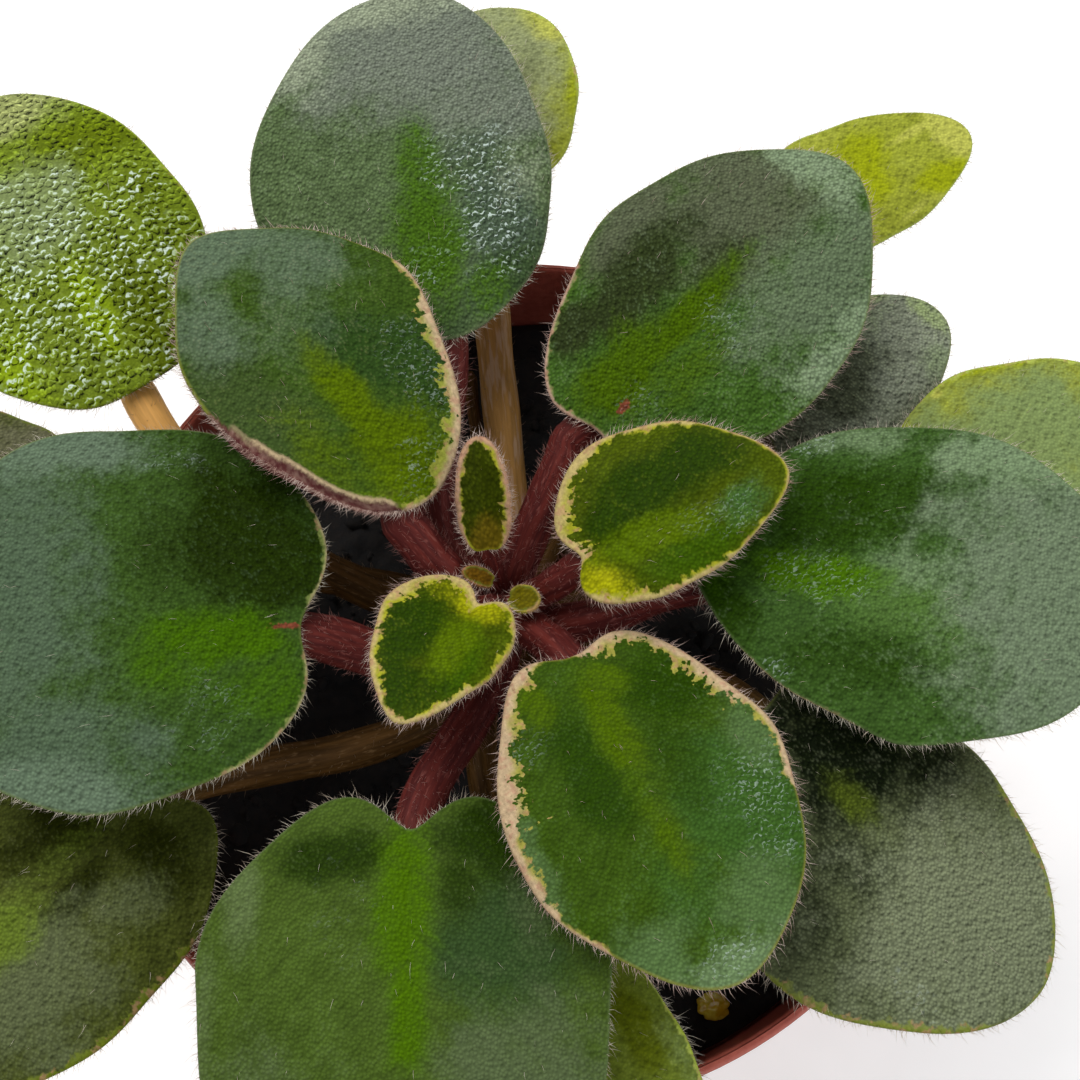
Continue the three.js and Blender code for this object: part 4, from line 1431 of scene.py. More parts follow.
@dataclass(frozen=True)
class Stem:
    """The crown with the young stalks, and the old stem with the low ones. Millimetres."""

    young: tuple[Stalk, ...]
    old: tuple[Stalk, ...]
    young_finish: StalkFinish
    old_finish: StalkFinish
    neck_radius: float = 5.4
    neck_top: float = 85.5
    neck_foot: float = 66.3
    crown_radius: float = 5.0
    crown_height: float = 8.0
    crown_gap: float = 0.3
    crown_hair_count: int = 480
    stub_tip: tuple[float, float, float] = (-7.2, 38.5, 84.5)
    stub_root: float = 80.5
    stub_radius: float = 0.9
    rod_rings: int = 40

    def crown(self) -> tuple[Array, Array]:
        """Returns the crown's middle and its half sizes."""
        half = self.crown_height / 2
        middle = np.array([*STEM, self.neck_top + self.crown_gap + half])
        return middle, np.array([self.crown_radius, self.crown_radius, half])

    def make_young(self) -> bpy.types.Object:
        """Makes the crown and the red stalks that stand for the part's own."""
        piece = Assembly("young_stalks")
        for stalk in self.young:
            stalk.add_to(piece)
        bm = bmesh.new()
        bmesh.ops.create_uvsphere(bm, u_segments=40, v_segments=24, radius=1)
        pattern = keep_mesh(bm, "crown")
        mould = coordinates(pattern)
        lumps = 1 + 0.05 * ripples(5 * mould[:, 0], 5 * mould[:, 1], 3.0, 8)
        middle, size = self.crown()
        flat = mould * size
        zero = np.zeros(len(mould))
        piece.add(pattern, middle + flat * lumps[:, None], flat=flat, along=zero, ripe=zero)
        made = piece.make(self.young_finish.material("young_stalk_skin"), "stalk_red")
        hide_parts("stalks_young")
        return made

    def make_old(self) -> bpy.types.Object:
        """Makes the old stem, the brown stalks and the dry stub that stand for the part's own."""
        piece = Assembly("old_stalks")
        for stalk in self.old:
            stalk.add_to(piece)
        foot, top, root = (
            np.array([*STEM, height]) for height in (self.neck_foot, self.neck_top, self.stub_root)
        )
        self.add_rod(piece, foot, top, self.neck_radius, 0.07)
        self.add_rod(piece, root, np.array(self.stub_tip), self.stub_radius, 0.12)
        made = piece.make(self.old_finish.material("old_stalk_skin"), "stalk_brown")
        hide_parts("stalks_old")
        return made

    def add_rod(
        self, piece: Assembly, start: Array, end: Array, radius: float, rough: float
    ) -> None:
        """Adds a straight, slightly knobbly rod.

        Args:
            piece: The piece.
            start: One end.
            end: The other end.
            radius: The rod's radius.
            rough: Share of the radius by which it swells and shrinks.
        """
        rings = self.rod_rings
        pattern = tube_pattern(24, rings)
        x, y, ring = coordinates(pattern).T
        share = ring / rings
        along = unit(end - start)
        side = unit(np.cross(along, [0.3, 1.0, 0.2]))
        above = np.cross(side, along)
        angle = np.arctan2(y, x)
        knobs = 1 + rough * (np.sin(17 * share + 2 * angle) + np.sin(29 * share - angle)) / 2
        ends = np.minimum(1.0, np.sqrt(np.minimum(ring, rings - ring) + 0.3))
        size = (radius * knobs * ends)[:, None]
        around = size * (x[:, None] * side + y[:, None] * above)
        places = start + share[:, None] * (end - start) + around
        flat = np.stack([angle * radius, share * np.linalg.norm(end - start), 3 * angle], axis=-1)
        piece.add(pattern, places, flat=flat, along=np.full(len(ring), 0.3), ripe=0 * ring)

    def crown_hairs(self, draw: Draw) -> Hairs:
        """Returns the long hairs on top of the crown."""
        count = self.crown_hair_count
        height, turn = draw.uniform(0.1, 1.0, count), draw.uniform(0, 2 * math.pi, count)
        level = np.sqrt(1 - height**2)
        way = np.stack([level * np.cos(turn), level * np.sin(turn), height], axis=-1)
        middle, size = self.crown()
        length = draw.uniform(0.8, 1.8, count)
        bent = draw.normal(0, 0.35, (count, 3))
        radius = np.full(count, 0.03)
        return Hairs(middle + 0.97 * size * way, unit(way + bent), bent, length, radius)

    def make_hairs(self, pale: bpy.types.Material, tan: bpy.types.Material) -> None:
        """Makes the hairs of both sets of stalks."""
        draw = np.random.default_rng(71)
        piece = Assembly("hairs_young_stalks")
        for stalk in self.young:
            stalk.add_hairs(piece, draw, density=1.6, reach=1.2)
        self.crown_hairs(draw).add_to(piece, rings=2)
        piece.make(pale, "stalk_red")
        piece = Assembly("hairs_old_stalks")
        for stalk in self.old:
            stalk.add_hairs(piece, draw, density=0.4, reach=1.0)
        piece.make(tan, "stalk_brown")


# The studio


@dataclass(frozen=True)
class Studio:
    """Floor, lights and camera, in metres."""

    finish: GrainFinish
    floor_glow: float = 0.22
    floor_size: float = 6.0
    camera_at: tuple[float, float, float] = (0.0020, -0.05768, 0.29734)
    elevation: float = 71.0
    lens: float = 60.0
    key_power: float = 8.6
    fill_power: float = 4.2
    sky: float = 0.55

    def lamp(self, name: str, place: Sequence[float], size: float, power: float, tone: Rgb) -> None:
        """Adds a square area light that faces the plant."""
        light = bpy.data.lights.new(name, "AREA")
        light.shape, light.size, light.energy, light.color = "SQUARE", size, power, tone
        lamp = bpy.data.objects.new(name, light)
        lamp.location = place
        aim = Vector((0.0, 0.0, 0.09)) - Vector(place)
        lamp.rotation_euler = aim.to_track_quat("-Z", "Y").to_euler()
        bpy.context.scene.collection.objects.link(lamp)

    def make(self) -> None:
        """Sets up the floor, the lights and the camera."""
        scene = bpy.context.scene
        bm = bmesh.new()
        bmesh.ops.create_grid(bm, x_segments=2, y_segments=2, size=self.floor_size / 2)
        mesh = keep_mesh(bm, "floor")
        glow = {"Emission_Color": (1.0, 1.0, 1.0), "Emission_Strength": self.floor_glow}
        mesh.materials.append(self.finish.material("floor_skin", **glow))
        floor = bpy.data.objects.new("floor", mesh)
        scene.collection.objects.link(floor)
        self.lamp("key", (-0.35, 0.45, 0.95), 0.7, self.key_power, (1.0, 0.98, 0.95))
        self.lamp("fill", (0.75, -0.35, 0.7), 0.8, self.fill_power, (0.95, 0.98, 1.0))
        world = bpy.data.worlds.new("studio")
        world.use_nodes = True
        sky = world.node_tree.nodes["Background"].inputs
        sky["Color"].default_value = (0.94, 0.97, 1.0, 1.0)
        sky["Strength"].default_value = self.sky
        scene.world = world
        scene.view_settings.view_transform = "Standard"
        lens = bpy.data.cameras.new("camera")
        lens.lens, lens.sensor_width, lens.clip_start = self.lens, 36.0, 0.01
        camera = bpy.data.objects.new("camera", lens)
        camera.location = self.camera_at
        camera.rotation_euler = (math.radians(90 - self.elevation), 0.0, 0.0)
        scene.collection.objects.link(camera)
        scene.camera = camera


# This plant


NORTH_SKIN = LeafFinish(
    main=(0.078, 0.117, 0.046), dusk=(0.14, 0.16, 0.122), deep=(0.06, 0.09, 0.053),
    bloom=(0.038, 0.066, 0.024), pale=(0.23, 0.262, 0.178), bright=(0.045, 0.1, 0.006),
    line=(0.17, 0.21, 0.1), grain=0.42, glints=0.75, bead_size=0.7, facets=0.25,
)
NORTHWEST_SKIN = LeafFinish(
    main=(0.039, 0.077, 0.009), dusk=(0.041, 0.07, 0.016), deep=(0.024, 0.055, 0.009),
    bloom=(0.094, 0.137, 0.08), pale=(0.3, 0.24, 0.08), bright=(0.07, 0.114, 0.001),
    cream=(0.46, 0.34, 0.2), line=(0.26, 0.28, 0.04), pits=0.32, glints=0.25, bead_size=0.6,
)
NORTHEAST_SKIN = LeafFinish(
    main=(0.042, 0.094, 0.012), dusk=(0.08, 0.094, 0.051), deep=(0.024, 0.035, 0.009),
    bloom=(0.097, 0.135, 0.071), pale=(0.18, 0.24, 0.138), bright=(0.046, 0.09, 0.001),
    cream=(0.46, 0.3, 0.22), line=(0.16, 0.2, 0.06), grain=0.4, pits=0.38, glints=0.22,
    bead_size=0.6,
)
EAST_SKIN = LeafFinish(
    main=(0.038, 0.084, 0.014), dusk=(0.066, 0.13, 0.026), deep=(0.016, 0.042, 0.001),
    bloom=(0.132, 0.177, 0.104), pale=(0.155, 0.22, 0.115), bright=(0.05, 0.122, 0.001),
    line=(0.12, 0.18, 0.06), pits=0.36, glints=0.3, bead_size=0.55, swirl=0.8,
)
WEST_SKIN = LeafFinish(
    main=(0.036, 0.074, 0.011), dusk=(0.055, 0.075, 0.045), deep=(0.012, 0.024, 0.001),
    bloom=(0.07, 0.108, 0.06), pale=(0.104, 0.15, 0.094), bright=(0.042, 0.102, 0.001),
    cream=(0.38, 0.34, 0.16), line=(0.16, 0.2, 0.05), glints=0.25, bead_size=0.6,
)
SOUTH_SKIN = LeafFinish(
    main=(0.054, 0.092, 0.012), dusk=(0.029, 0.059, 0.015), deep=(0.014, 0.031, 0.001),
    bloom=(0.077, 0.107, 0.043), pale=(0.092, 0.132, 0.045), bright=(0.052, 0.115, 0.001),
    line=(0.12, 0.17, 0.06), pits=0.15, glints=0.18, bead_size=0.6,
)
SOUTHEAST_SKIN = LeafFinish(
    main=(0.036, 0.075, 0.004), dusk=(0.038, 0.094, 0.014), deep=(0.019, 0.048, 0.001),
    bloom=(0.074, 0.132, 0.04), pale=(0.13, 0.2, 0.088), bright=(0.058, 0.106, 0.001),
    cream=(0.48, 0.35, 0.21), line=(0.3, 0.28, 0.05), pits=0.15, glints=0.3, bead_size=0.62,
)
INNER_SKIN = LeafFinish(
    main=(0.056, 0.082, 0.002), dusk=(0.036, 0.08, 0.001), deep=(0.019, 0.043, 0.001),
    bloom=(0.04, 0.108, 0.024), pale=(0.33, 0.33, 0.004), bright=(0.074, 0.122, 0.001),
    cream=(0.46, 0.36, 0.14), line=(0.32, 0.32, 0.02), pits=0.2, glints=0.25, bead_size=0.5,
)
SHADED_SKIN = LeafFinish(
    main=(0.092, 0.11, 0.05), dusk=(0.03, 0.045, 0.01), deep=(0.006, 0.01, 0.003),
    bloom=(0.147, 0.168, 0.096), pale=(0.13, 0.15, 0.1), bright=(0.06, 0.085, 0.008),
    cream=(0.17, 0.2, 0.03), line=(0.17, 0.2, 0.05), grain=0.42, glints=0.18,
)
OLIVE_SKIN = LeafFinish(
    main=(0.055, 0.068, 0.011), dusk=(0.09, 0.06, 0.01), deep=(0.017, 0.022, 0.001),
    bloom=(0.09, 0.108, 0.046), pale=(0.11, 0.11, 0.06), bright=(0.1, 0.145, 0.016),
    cream=(0.12, 0.15, 0.01), line=(0.12, 0.15, 0.02), glints=0.2,
)
LIME_SKIN = LeafFinish(
    main=(0.14, 0.196, 0.012), dusk=(0.2, 0.25, 0.1), deep=(0.1, 0.14, 0.003),
    bloom=(0.188, 0.24, 0.085), pale=(0.26, 0.29, 0.1), bright=(0.208, 0.3, 0.006),
    cream=(0.24, 0.33, 0.02), line=(0.26, 0.34, 0.025), under=(0.25, 0.3, 0.1), grain=0.2,
    pits=0.1, glints=1.0, bead_size=1.0, facets=1.1, relief=0.075,
)
THIN_SKIN = LeafFinish(
    main=(0.27, 0.3, 0.03), dusk=(0.26, 0.29, 0.14), deep=(0.12, 0.14, 0.06),
    bloom=(0.185, 0.247, 0.086), pale=(0.43, 0.44, 0.08), bright=(0.27, 0.31, 0.006),
    cream=(0.34, 0.42, 0.05), line=(0.36, 0.42, 0.08), under=(0.25, 0.3, 0.1), grain=0.2,
    glints=0.2,
)

LEAVES_YOUNG = (
    Leaf(
        BladeForm(
            "blade_bud_west", Kind.BUD, (-3.5, 5.4, 99.2), 165, 3.8, 2.4, 24, 5, 94, lobe=0.3
        ),
        dataclasses.replace(OLIVE_SKIN, main=(0.11, 0.055, 0.003), cream=(0.25, 0.12, 0.04)),
        "leaf_olive",
        borders=margin((0, 180, 0.25)),
        cell=0.16, hair_length=0.8, hair_gap=0.14, fuzz_gap=0.09,
    ),
    Leaf(
        BladeForm(
            "blade_bud_east", Kind.BUD, (-1.4, 3.5, 99.5), -15, 3.6, 3.5, 15, 5, 94, lobe=0.3
        ),
        dataclasses.replace(OLIVE_SKIN, main=(0.12, 0.1, 0.002), cream=(0.33, 0.27, 0.04)),
        "leaf_olive",
        borders=margin((0, 180, 0.3)),
        cell=0.16, hair_length=0.8, hair_gap=0.14, fuzz_gap=0.09,
    ),
    Leaf(
        BladeForm(
            "blade_inner_north", Kind.INNER, (-4, 8.2, 103), 95, 13.5, 6.2, 48, 10, 92,
            lobe=1, own={"cup": -0.8, "fold": 0.6, "curl": 0.1, "wave": 0.15, "stalk": 1.3},
        ),
        dataclasses.replace(
            INNER_SKIN,
            main=(0.03, 0.041, 0.001), bright=(0.12, 0.085, 0.005), cream=(0.42, 0.25, 0.15),
        ),
        "leaf_cream_edged",
        patches=zones(
            bright=[(0.1, 0, 3, 2.2, 0.9)],
        ),
        borders=margin((0, 180, 0.5), (0, 40, 0.8), (-120, 50, 0.7)),
        cell=0.2, hair_length=1.0, hair_gap=0.12, fuzz_gap=0.08,
    ),
    Leaf(
        BladeForm(
            "blade_inner_southwest", Kind.INNER, (-4.9, 1.3, 104), -121, 17.4, 15, 22, 10, 92,
            lobe=2.5, broad=0.3, skew=-0.18, front=1.65, back=2.3,
        ),
        INNER_SKIN,
        "leaf_cream_edged",
        patches=zones(
            deep=[(0.45, -0.55, 6.5, 3.6), (0.75, 0.1, 3.5, 3.5, 0.7), (0.8, -0.35, 3.5, 3.5)],
            dusk=[(0.5, 0.35, 5, 2.5)],
            bright=[(0.38, 0.1, 4.5, 2.2)],
            pale=[(0.04, 0, 2.4, 3.2, 0.8), (0.04, -0.5, 2, 3, 0.4)],
        ),
        borders=margin(
            (0, 180, 0.4), (-135, 55, 1.8), (180, 30, 1.1), (120, 60, 0.7), (-50, 45, 0.9),
            (20, 30, 0.95),
        ),
        cell=0.24, hair_length=1.05, hair_gap=0.12, fuzz_gap=0.08,
    ),
    Leaf(
        BladeForm(
            "blade_inner_east", Kind.INNER, (6.5, 5.7, 107), 19, 24.3, 20, 24, 14, 91,
            broad=0.35, skew=0.22, front=1.75, back=2.3, sag=2, bend=1,
            own={"cup": 1.4, "fold": 1.0, "stalk": 1.9},
        ),
        INNER_SKIN,
        "leaf_cream_edged",
        patches=zones(
            deep=[(0.5, 0.45, 9, 4.2), (0.2, 0.25, 3.5, 3)],
            dusk=[(0.5, -0.45, 6, 3)],
            bright=[(0.33, -0.12, 7, 2.3)],
            pale=[(0.05, -0.5, 3.2, 4.2)],
            bloom=[(0.78, -0.12, 3.4, 2.4, 0.7)],
            glint=[(0.7, -0.15, 5, 3.5, 0.8)],
        ),
        borders=margin(
            (0, 180, 0.35), (142, 46, 2.1), (75, 35, 0.8), (-120, 42, 1), (-60, 25, 0.7),
        ),
        cell=0.28, hair_length=1.15, hair_gap=0.14, fuzz_gap=0.09,
    ),
    Leaf(
        BladeForm(
            "blade_middle_southeast", Kind.MIDDLE, (5.6, -4.8, 104), -64.5, 39.5, 31.3, 18, 16, 91,
            lobe=6, front=1.9, back=1.5,
        ),
        SOUTHEAST_SKIN,
        "leaf_cream_edged",
        patches=zones(
            dusk=[(0.62, 0.55, 9, 7), (0.75, -0.05, 6, 5, 0.6)],
            deep=[(0.22, 0.45, 6, 5), (0.35, -0.3, 8, 3.4), (0.45, 0.3, 6, 3, 0.6)],
            bright=[
                (0.28, 0, 7.5, 2.2), (0.12, 0.1, 3, 3, 0.8), (0.1, -0.4, 3.5, 2, 0.8),
                (0.6, -0.02, 5, 1.8, 0.7),
            ],
            bloom=[
                (0.85, 0.35, 4.6, 4.6, 1, 60), (0.42, 0.82, 4.6, 2.6), (0.88, -0.45, 4, 5),
                (0.55, -0.88, 7, 1.8, 0.8),
            ],
            pale=[(0.98, 0.05, 2.6, 7, 0.8)],
            glint=[(0.62, 0.65, 7, 4.5), (0.95, 0, 2, 5), (0.2, -0.6, 3, 3, 0.7)],
        ),
        borders=margin(
            (140, 42, 1.9), (85, 22, 0.9), (-130, 42, 1.8), (-113, 20, 2.7), (-80, 25, 1.2),
            (-55, 20, 0.5),
        ),
    ),
    Leaf(
        BladeForm(
            "blade_middle_northwest", Kind.MIDDLE, (-9.4, 14, 105.5), 135.5, 40.5, 29.7, 18, 18, 91,
            lobe=1, broad=0.57, skew=-0.072, front=1.65, back=1.7, shoulder=0.1, roll=5, upturn=2.5,
            bend=-3, joint=(0, 4.5), own={"stalk": 2.6},
        ),
        NORTHWEST_SKIN,
        "leaf_deep_green",
        patches=zones(
            dusk=[(0.5, 0.65, 13, 5.5)],
            deep=[(0.42, -0.3, 7.5, 4.5, 1, 10), (0.28, -0.6, 8, 5)],
            bloom=[
                (0.95, -0.1, 4, 11), (0.78, -0.45, 7, 7.5, 0.75), (0.78, 0.45, 6.5, 4.5, 0.75),
                (0.62, -0.05, 6, 6, 0.4),
            ],
            bright=[(0.34, 0.02, 8.5, 2.6), (0.14, 0.05, 6.5, 6.5), (0.28, 0.5, 7, 3.5, 0.6)],
            pale=[(0.05, 0.36, 2.4, 3.6, 0.8)],
            glint=[(0.3, -0.55, 8, 5, 0.8), (0.1, -0.1, 3, 5, 0.8)],
        ),
        borders=margin((-143, 42, 1.7), (-105, 22, 0.8), (180, 14, 0.8)),
        turned=margin((128, 48, 0.5), (132, 40, 0.8), (138, 32, 1.1), (146, 24, 1.4)),
        hair_gap=0.15, fuzz_gap=0.08,
    ),
    Leaf(
        BladeForm(
            "blade_middle_northeast", Kind.MIDDLE, (8.8, 21.8, 104), 48, 43, 33, 18, 18, 90,
            lobe=5, broad=0.49, front=1.8, back=1.75, bend=-1, swing=25, joint=(-3, 3),
            own={"fold": 2.0},
        ),
        NORTHEAST_SKIN,
        "leaf_deep_green",
        patches=zones(
            dusk=[(0.72, 0.3, 12, 10), (0.5, 0.8, 9, 4)],
            deep=[(0.38, 0.48, 10, 4.4), (0.18, 0.62, 5, 3.6), (0.55, 0.15, 5, 4, 0.6)],
            bloom=[(0.7, -0.5, 12, 7), (0.5, -0.4, 6, 4, 0.7)],
            pale=[(0.98, 0.25, 4, 9), (0.6, -0.95, 9, 3.6, 0.8)],
            bright=[
                (0.38, 0.05, 10, 2.3), (0.18, 0.12, 7.5, 4.5), (0.3, -0.2, 7, 3, 0.6),
                (0.2, 0.9, 6, 1.6, 0.8),
            ],
            glint=[(0.45, -0.2, 5, 4, 0.8), (0.15, -0.1, 4, 4, 0.6)],
            scar=[(0.1, -0.02, 1.2, 0.7, 0.8)],
        ),
        borders=margin((145, 34, 0.6), (180, 12, 0.4)),
    ),
    Leaf(
        BladeForm(
            "blade_outer_east", Kind.OUTER, (19.5, 4.8, 103.5), -7.5, 47.5, 38, 14, 16, 90,
            broad=0.5, skew=0.1, front=2.05, back=1.55, shoulder=0.15, bend=7,
        ),
        EAST_SKIN,
        "leaf_grey_green",
        patches=zones(
            dusk=[(0.5, -0.1, 8, 4), (0.62, -0.25, 6, 4, 0.7)],
            deep=[
                (0.3, 0.45, 8.5, 6), (0.46, 0.62, 6, 3.5, 0.7), (0.12, 0.1, 5, 4, 0.6),
                (0.4, -0.45, 9, 4, 0.6), (0.06, -0.3, 4.5, 7),
            ],
            bloom=[(0.85, 0, 13, 20), (0.62, 0.5, 5, 5, 0.7)],
            pale=[(0.5, 0.12, 6, 3, 0.6), (0.35, 0.95, 9, 2.4, 0.6), (0.75, 0.92, 9, 4)],
            bright=[(0.28, 0.04, 8.5, 2.6)],
            glint=[(0.28, 0.03, 8, 4, 0.75), (0.24, 0.9, 3.5, 2), (0.2, -0.55, 2.5, 2)],
        ),
        borders=margin((-130, 30, 0.2)),
    ),
    Leaf(
        BladeForm(
            "blade_outer_west", Kind.OUTER, (-24.8, -1.2, 103.5), 184, 42, 45, 16, 18, 90,
            lobe=4.2, broad=0.52, skew=-0.1, front=2.1, back=2.25, shoulder=-0.23, bend=-13,
            swing=8, own={"stalk": 2.75},
        ),
        WEST_SKIN,
        "leaf_grey_green",
        patches=zones(
            deep=[(0.16, -0.48, 8.5, 9.5), (0.05, -0.35, 6, 8), (0.34, -0.38, 6, 6, 0.5)],
            bloom=[(0.8, -0.2, 12, 20), (0.72, 0.65, 15, 9), (0.45, 0.85, 8, 4, 0.6)],
            pale=[(0.65, -0.97, 12, 4), (0.72, 0.85, 12, 5)],
            bright=[(0.22, 0.08, 9, 3.6), (0.1, 0.3, 6, 5, 0.6), (0.36, 0.2, 4, 4, 0.7)],
            scar=[(0.03, 0, 2.2, 0.6)],
            glint=[(0.24, 0.45, 5, 6, 0.6), (0.34, -0.9, 5, 2, 0.8)],
        ),
        borders=margin((150, 26, 0.42), (-160, 16, 0.5)),
    ),
    Leaf(
        BladeForm(
            "blade_outer_south", Kind.OUTER, (-12, -23.6, 102.5), -89, 42, 44, 12, 22, 90,
            lobe=6, broad=0.36, skew=-0.03, front=2.5, back=1.7, bend=-5.5,
        ),
        SOUTH_SKIN,
        "leaf_grey_green",
        patches=zones(
            dusk=[(0.32, 0.45, 9, 8)],
            deep=[(0.05, 0.35, 5, 5), (0.15, 0.25, 5, 3, 0.8), (0.08, -0.35, 3.5, 7, 0.9)],
            bloom=[(0.72, 0.55, 12, 10), (0.2, 0.6, 7, 2.6, 0.5), (0.75, -0.7, 10, 8, 0.5)],
            pale=[(0.17, -0.82, 6, 2.4, 0.8), (0.5, -0.98, 12, 1.8, 0.6)],
            bright=[(0.22, -0.03, 9, 3.4), (0.46, 0, 7, 2.3)],
            glint=[(0.2, -0.3, 7, 4, 0.5)],
        ),
    ),
    Leaf(
        BladeForm(
            "blade_outer_north", Kind.OUTER, (-9, 34.8, 102.5), 96, 45.5, 36.5, 14, 14, 90,
            lobe=0.5, broad=0.4255, skew=0.21, front=1.95, back=1.8, bend=-11,
        ),
        NORTH_SKIN,
        "leaf_grey_green",
        patches=zones(
            dusk=[(0.85, 0, 12, 19), (0.62, -0.4, 6, 12, 0.8)],
            deep=[(0.3, -0.4, 9, 5.6), (0.12, -0.3, 4, 3.5), (0.5, -0.3, 4, 5, 0.6)],
            bloom=[(0.17, -0.5, 3.6, 4.2), (0.4, -0.9, 9, 2.8), (0.05, 0, 3.5, 5, 0.8)],
            pale=[
                (0.43, -0.62, 4, 4, 0.4), (0.86, 0.85, 7, 5, 0.9), (0.97, 0.35, 3.5, 11),
                (0.98, -0.15, 2.5, 5, 0.7),
            ],
            bright=[(0.45, 0.08, 7.5, 3.2, 0.8), (0.26, 0.06, 9, 5.2), (0.12, -0.3, 5, 3, 0.7)],
            glint=[(0.47, -0.28, 5, 6.5), (0.3, -0.35, 7, 5), (0.2, 0.1, 5, 3, 0.5)],
        ),
    ),
)
LEAVES_OLD = (
    Leaf(
        BladeForm(
            "blade_low_southeast", Kind.LOW, (27.5, -9.2, 96.5), -47, 42.5, 34.5, 6, 16, 81,
            lobe=3, skew=-0.195, front=1.9,
        ),
        SHADED_SKIN,
        "leaf_grey_green",
        patches=zones(
            deep=[
                (0.46, -0.75, 8, 5, 0.5), (0.47, -0.3, 6.5, 4.5, 0.6), (0.22, 0.25, 11, 11),
                (0.38, 0.5, 5, 6, 0.8),
            ],
            bloom=[(0.78, -0.05, 13, 15)],
            bright=[(0.34, -0.02, 4, 2, 0.8)],
            glint=[(0.8, -0.6, 5, 3, 0.7)],
        ),
        borders=margin((-50, 38, 0.8), (35, 42, 0.7)),
    ),
    Leaf(
        BladeForm(
            "blade_low_southwest", Kind.LOW, (-42.2, -18.4, 95.5), -132, 40.5, 32.5, 6, 20, 80,
            lobe=5.5, broad=0.416, bend=-14, swing=-15,
        ),
        OLIVE_SKIN,
        "leaf_olive",
        patches=zones(
            deep=[(0.2, -0.3, 8, 4.5), (0.1, 0.4, 4, 5, 0.8), (0.35, 0.15, 6, 2)],
            bloom=[(0.6, 0.35, 10, 8), (0.27, 0.45, 5, 3.5, 0.7)],
            bright=[(0.56, -0.03, 7, 3.4), (0.3, -0.1, 6, 2.2, 0.35)],
        ),
        borders=margin((80, 45, 0.8)),
    ),
    Leaf(
        BladeForm(
            "blade_low_northwest", Kind.LOW, (-47.1, 30.7, 96.5), 118, 46, 34.1, 8, 16, 81,
            lobe=0.5, broad=0.4165, skew=0.026, front=2, bend=-8,
        ),
        LIME_SKIN,
        "leaf_lime",
        patches=zones(
            deep=[(0.74, -0.45, 4.5, 9), (0.16, -0.32, 9, 3), (0.45, -0.7, 8, 2.5, 0.6)],
            bloom=[(0.6, 0.15, 8, 8)],
            pale=[(0.98, 0, 6, 12)],
            bright=[(0.25, 0, 8, 2), (0.15, 0.75, 7, 4, 0.8)],
            glint=[(0.35, 0, 17, 18)],
        ),
        borders=margin((-50, 40, 0.35)),
    ),
    Leaf(
        BladeForm(
            "blade_low_north", Kind.LOW_SMALL, (-4.5, 59.1, 97.5), 85, 26, 20.5, 10, 20, 80,
            bend=3.4, own={"stalk": 2.3},
        ),
        THIN_SKIN,
        "leaf_lime",
        patches=zones(
            dusk=[(0.6, 0, 12, 9)],
            pale=[(0.96, -0.6, 4, 4)],
            deep=[(0.62, -0.35, 4, 2.2, 0.5)],
            bright=[(0.55, -0.95, 5, 1.5, 0.7)],
        ),
        borders=margin((-40, 50, 0.4)),
    ),
    Leaf(
        BladeForm(
            "blade_low_northeast", Kind.LOW_SMALL, (28, 51, 97.5), 27, 31, 17.2, 10, 16, 80,
            front=1.9, own={"cup": 1.0},
        ),
        THIN_SKIN,
        "leaf_lime",
        patches=zones(
            bright=[(0.5, 0.1, 7, 4.5), (0.85, -0.5, 5, 2)],
            pale=[
                (0.78, 0.32, 4.5, 0.7, 0.8, 8), (0.62, -0.8, 3, 0.6, 0.6, 15),
                (0.35, 0.75, 7, 1.8, 0.3), (0.97, 0, 3, 8), (0.82, -0.62, 3.5, 2, 0.8),
            ],
        ),
        borders=margin((60, 60, 0.3)),
    ),
    Leaf(
        BladeForm(
            "blade_low_east_small", Kind.LOW_SMALL, (29.4, 25.5, 95), 37, 27.5, 18.5, 6, 16, 80
        ),
        dataclasses.replace(
            SHADED_SKIN,
            main=(0.19, 0.21, 0.15),
            dusk=(0.17, 0.215, 0.115),
            deep=(0.055, 0.064, 0.037),
            bright=(0.24, 0.3, 0.13),
            pits=0.5,
        ),
        "leaf_grey_green",
        patches=zones(
            deep=[(0.35, 0.1, 9, 6)],
            dusk=[(0.6, 0.5, 6, 3, 0.6), (0.85, -0.6, 3, 2.5, 0.7)],
            bright=[(0.85, 0.75, 3, 1.6, 0.9), (0.98, 0.1, 1.6, 5, 0.7)],
        ),
    ),
    Leaf(
        BladeForm(
            "blade_low_east", Kind.LOW_SMALL, (46.5, 17, 97), 15, 33.5, 28, 5, 18, 81,
            own={"cup": 2.0},
        ),
        THIN_SKIN,
        "leaf_lime",
        patches=zones(
            bloom=[(0.5, 0.2, 18, 11)],
            deep=[(0.4, 0.3, 6, 3, 0.7)],
            bright=[(0.4, 1, 12, 1.6, 0.8)],
            pale=[(0.2, 0.82, 0.8, 0.6)],
        ),
        borders=margin((80, 60, 0.5)),
    ),
    Leaf(
        BladeForm(
            "blade_low_west", Kind.LOW_SMALL, (-53, 14.5, 96), 153, 25, 16, 5, 16, 80, bend=5.5
        ),
        OLIVE_SKIN,
        "leaf_olive",
        patches=zones(
            pale=[(0.3, -0.6, 10, 5)],
        ),
        borders=margin((-90, 60, 0.4)),
    ),
    Leaf(
        BladeForm(
            "blade_low_south", Kind.LOW_SMALL, (3.5, -36, 94), -64, 33, 18, 3, 18, 80, bend=9
        ),
        dataclasses.replace(THIN_SKIN, main=(0.125, 0.165, 0.018), deep=(0.09, 0.115, 0.004)),
        "leaf_lime",
        patches=zones(
            deep=[(0.35, 0.5, 6, 2.2)],
            bloom=[(0.5, 0.85, 6, 1.5, 0.4)],
        ),
        borders=margin((70, 60, 0.45)),
    ),
)

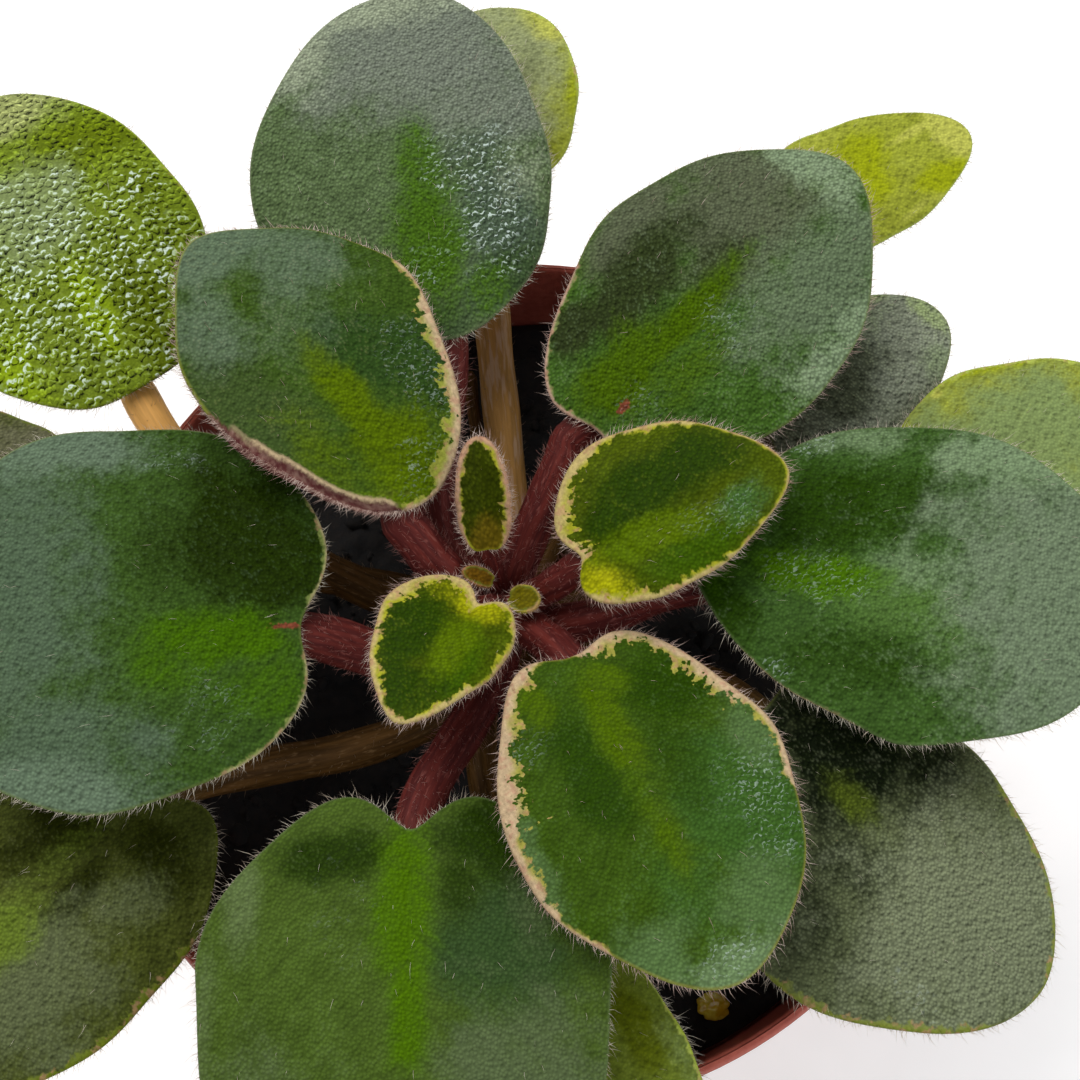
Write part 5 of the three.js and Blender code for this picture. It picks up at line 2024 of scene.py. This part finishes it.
# How far an old stalk has turned ochre, and past which share of its length
RIPE = {"blade_low_northwest": (1.0, 0.5), "blade_low_north": (0.42, 0.05)}
YOUNG_KINDS = (Kind.BUD, Kind.INNER, Kind.MIDDLE)

PALE_HAIR = GrainFinish((0.42, 0.34, 0.26), (0.68, 0.62, 0.5), 300.0, 0.45, 0.1, 0.0)
PINK_HAIR = GrainFinish((0.42, 0.26, 0.21), (0.7, 0.56, 0.48), 300.0, 0.45, 0.1, 0.0)
ROSY_HAIR = GrainFinish((0.2, 0.06, 0.05), (0.44, 0.23, 0.19), 300.0, 0.45, 0.1, 0.0)
TAN_HAIR = GrainFinish((0.16, 0.1, 0.05), (0.32, 0.22, 0.13), 300.0, 0.5, 0.1, 0.0)
POT_PLASTIC = GrainFinish((0.32, 0.07, 0.048), (0.38, 0.09, 0.062), 900.0, 0.55, 0.25, 0.02)
SOIL_SKIN = GrainFinish((0.002, 0.002, 0.003), (0.01, 0.008, 0.007), 900.0, 0.9, 0.2, 0.3)
AMBER = GrainFinish((0.8, 0.48, 0.01), (1.0, 0.85, 0.1), 500.0, 0.2, 0.1, 0.02)
BACKDROP = GrainFinish((0.86, 0.86, 0.85), (0.9, 0.9, 0.89), 40.0, 0.75, 0.1, 0.02)
YOUNG_STALK_SKIN = StalkFinish(
    flesh=(0.12, 0.019, 0.014), shade=(0.062, 0.009, 0.008), pale=(0.19, 0.055, 0.045),
    tip=(0.15, 0.033, 0.018), crust=(0.14, 0.03, 0.024),
)
OLD_STALK_SKIN = StalkFinish(
    flesh=(0.11, 0.052, 0.012), shade=(0.05, 0.023, 0.004), pale=(0.16, 0.09, 0.035),
    tip=(0.22, 0.14, 0.035), crust=(0.42, 0.28, 0.18),
)


def main() -> None:
    """Builds the plant, piece by piece, and the studio round it."""
    logging.basicConfig(level=logging.INFO, format="%(name)s %(message)s")
    outer_hair, inner_hair = PALE_HAIR.material("leaf_hair"), PINK_HAIR.material("young_leaf_hair")
    for leaf in LEAVES_YOUNG + LEAVES_OLD:
        leaf.make_blade()
        leaf.make_hairs(inner_hair if leaf.form.kind in YOUNG_KINDS else outer_hair)
    young = tuple(Stalk(leaf.form) for leaf in LEAVES_YOUNG)
    old = tuple(Stalk(leaf.form, *RIPE.get(leaf.form.name, ())) for leaf in LEAVES_OLD)
    stem = Stem(young, old, YOUNG_STALK_SKIN, OLD_STALK_SKIN)
    stem.make_young()
    stem.make_old()
    stem.make_hairs(ROSY_HAIR.material("stalk_hair"), TAN_HAIR.material("old_stalk_hair"))
    Pot(POT_PLASTIC).make()
    soil = Soil(SOIL_SKIN, AMBER)
    ground = soil.finish.material("soil_skin")
    soil.make_bed(ground)
    soil.make_crumbs(ground)
    soil.make_grain()
    Studio(BACKDROP).make()
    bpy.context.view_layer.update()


if __name__ == "__main__":
    main()
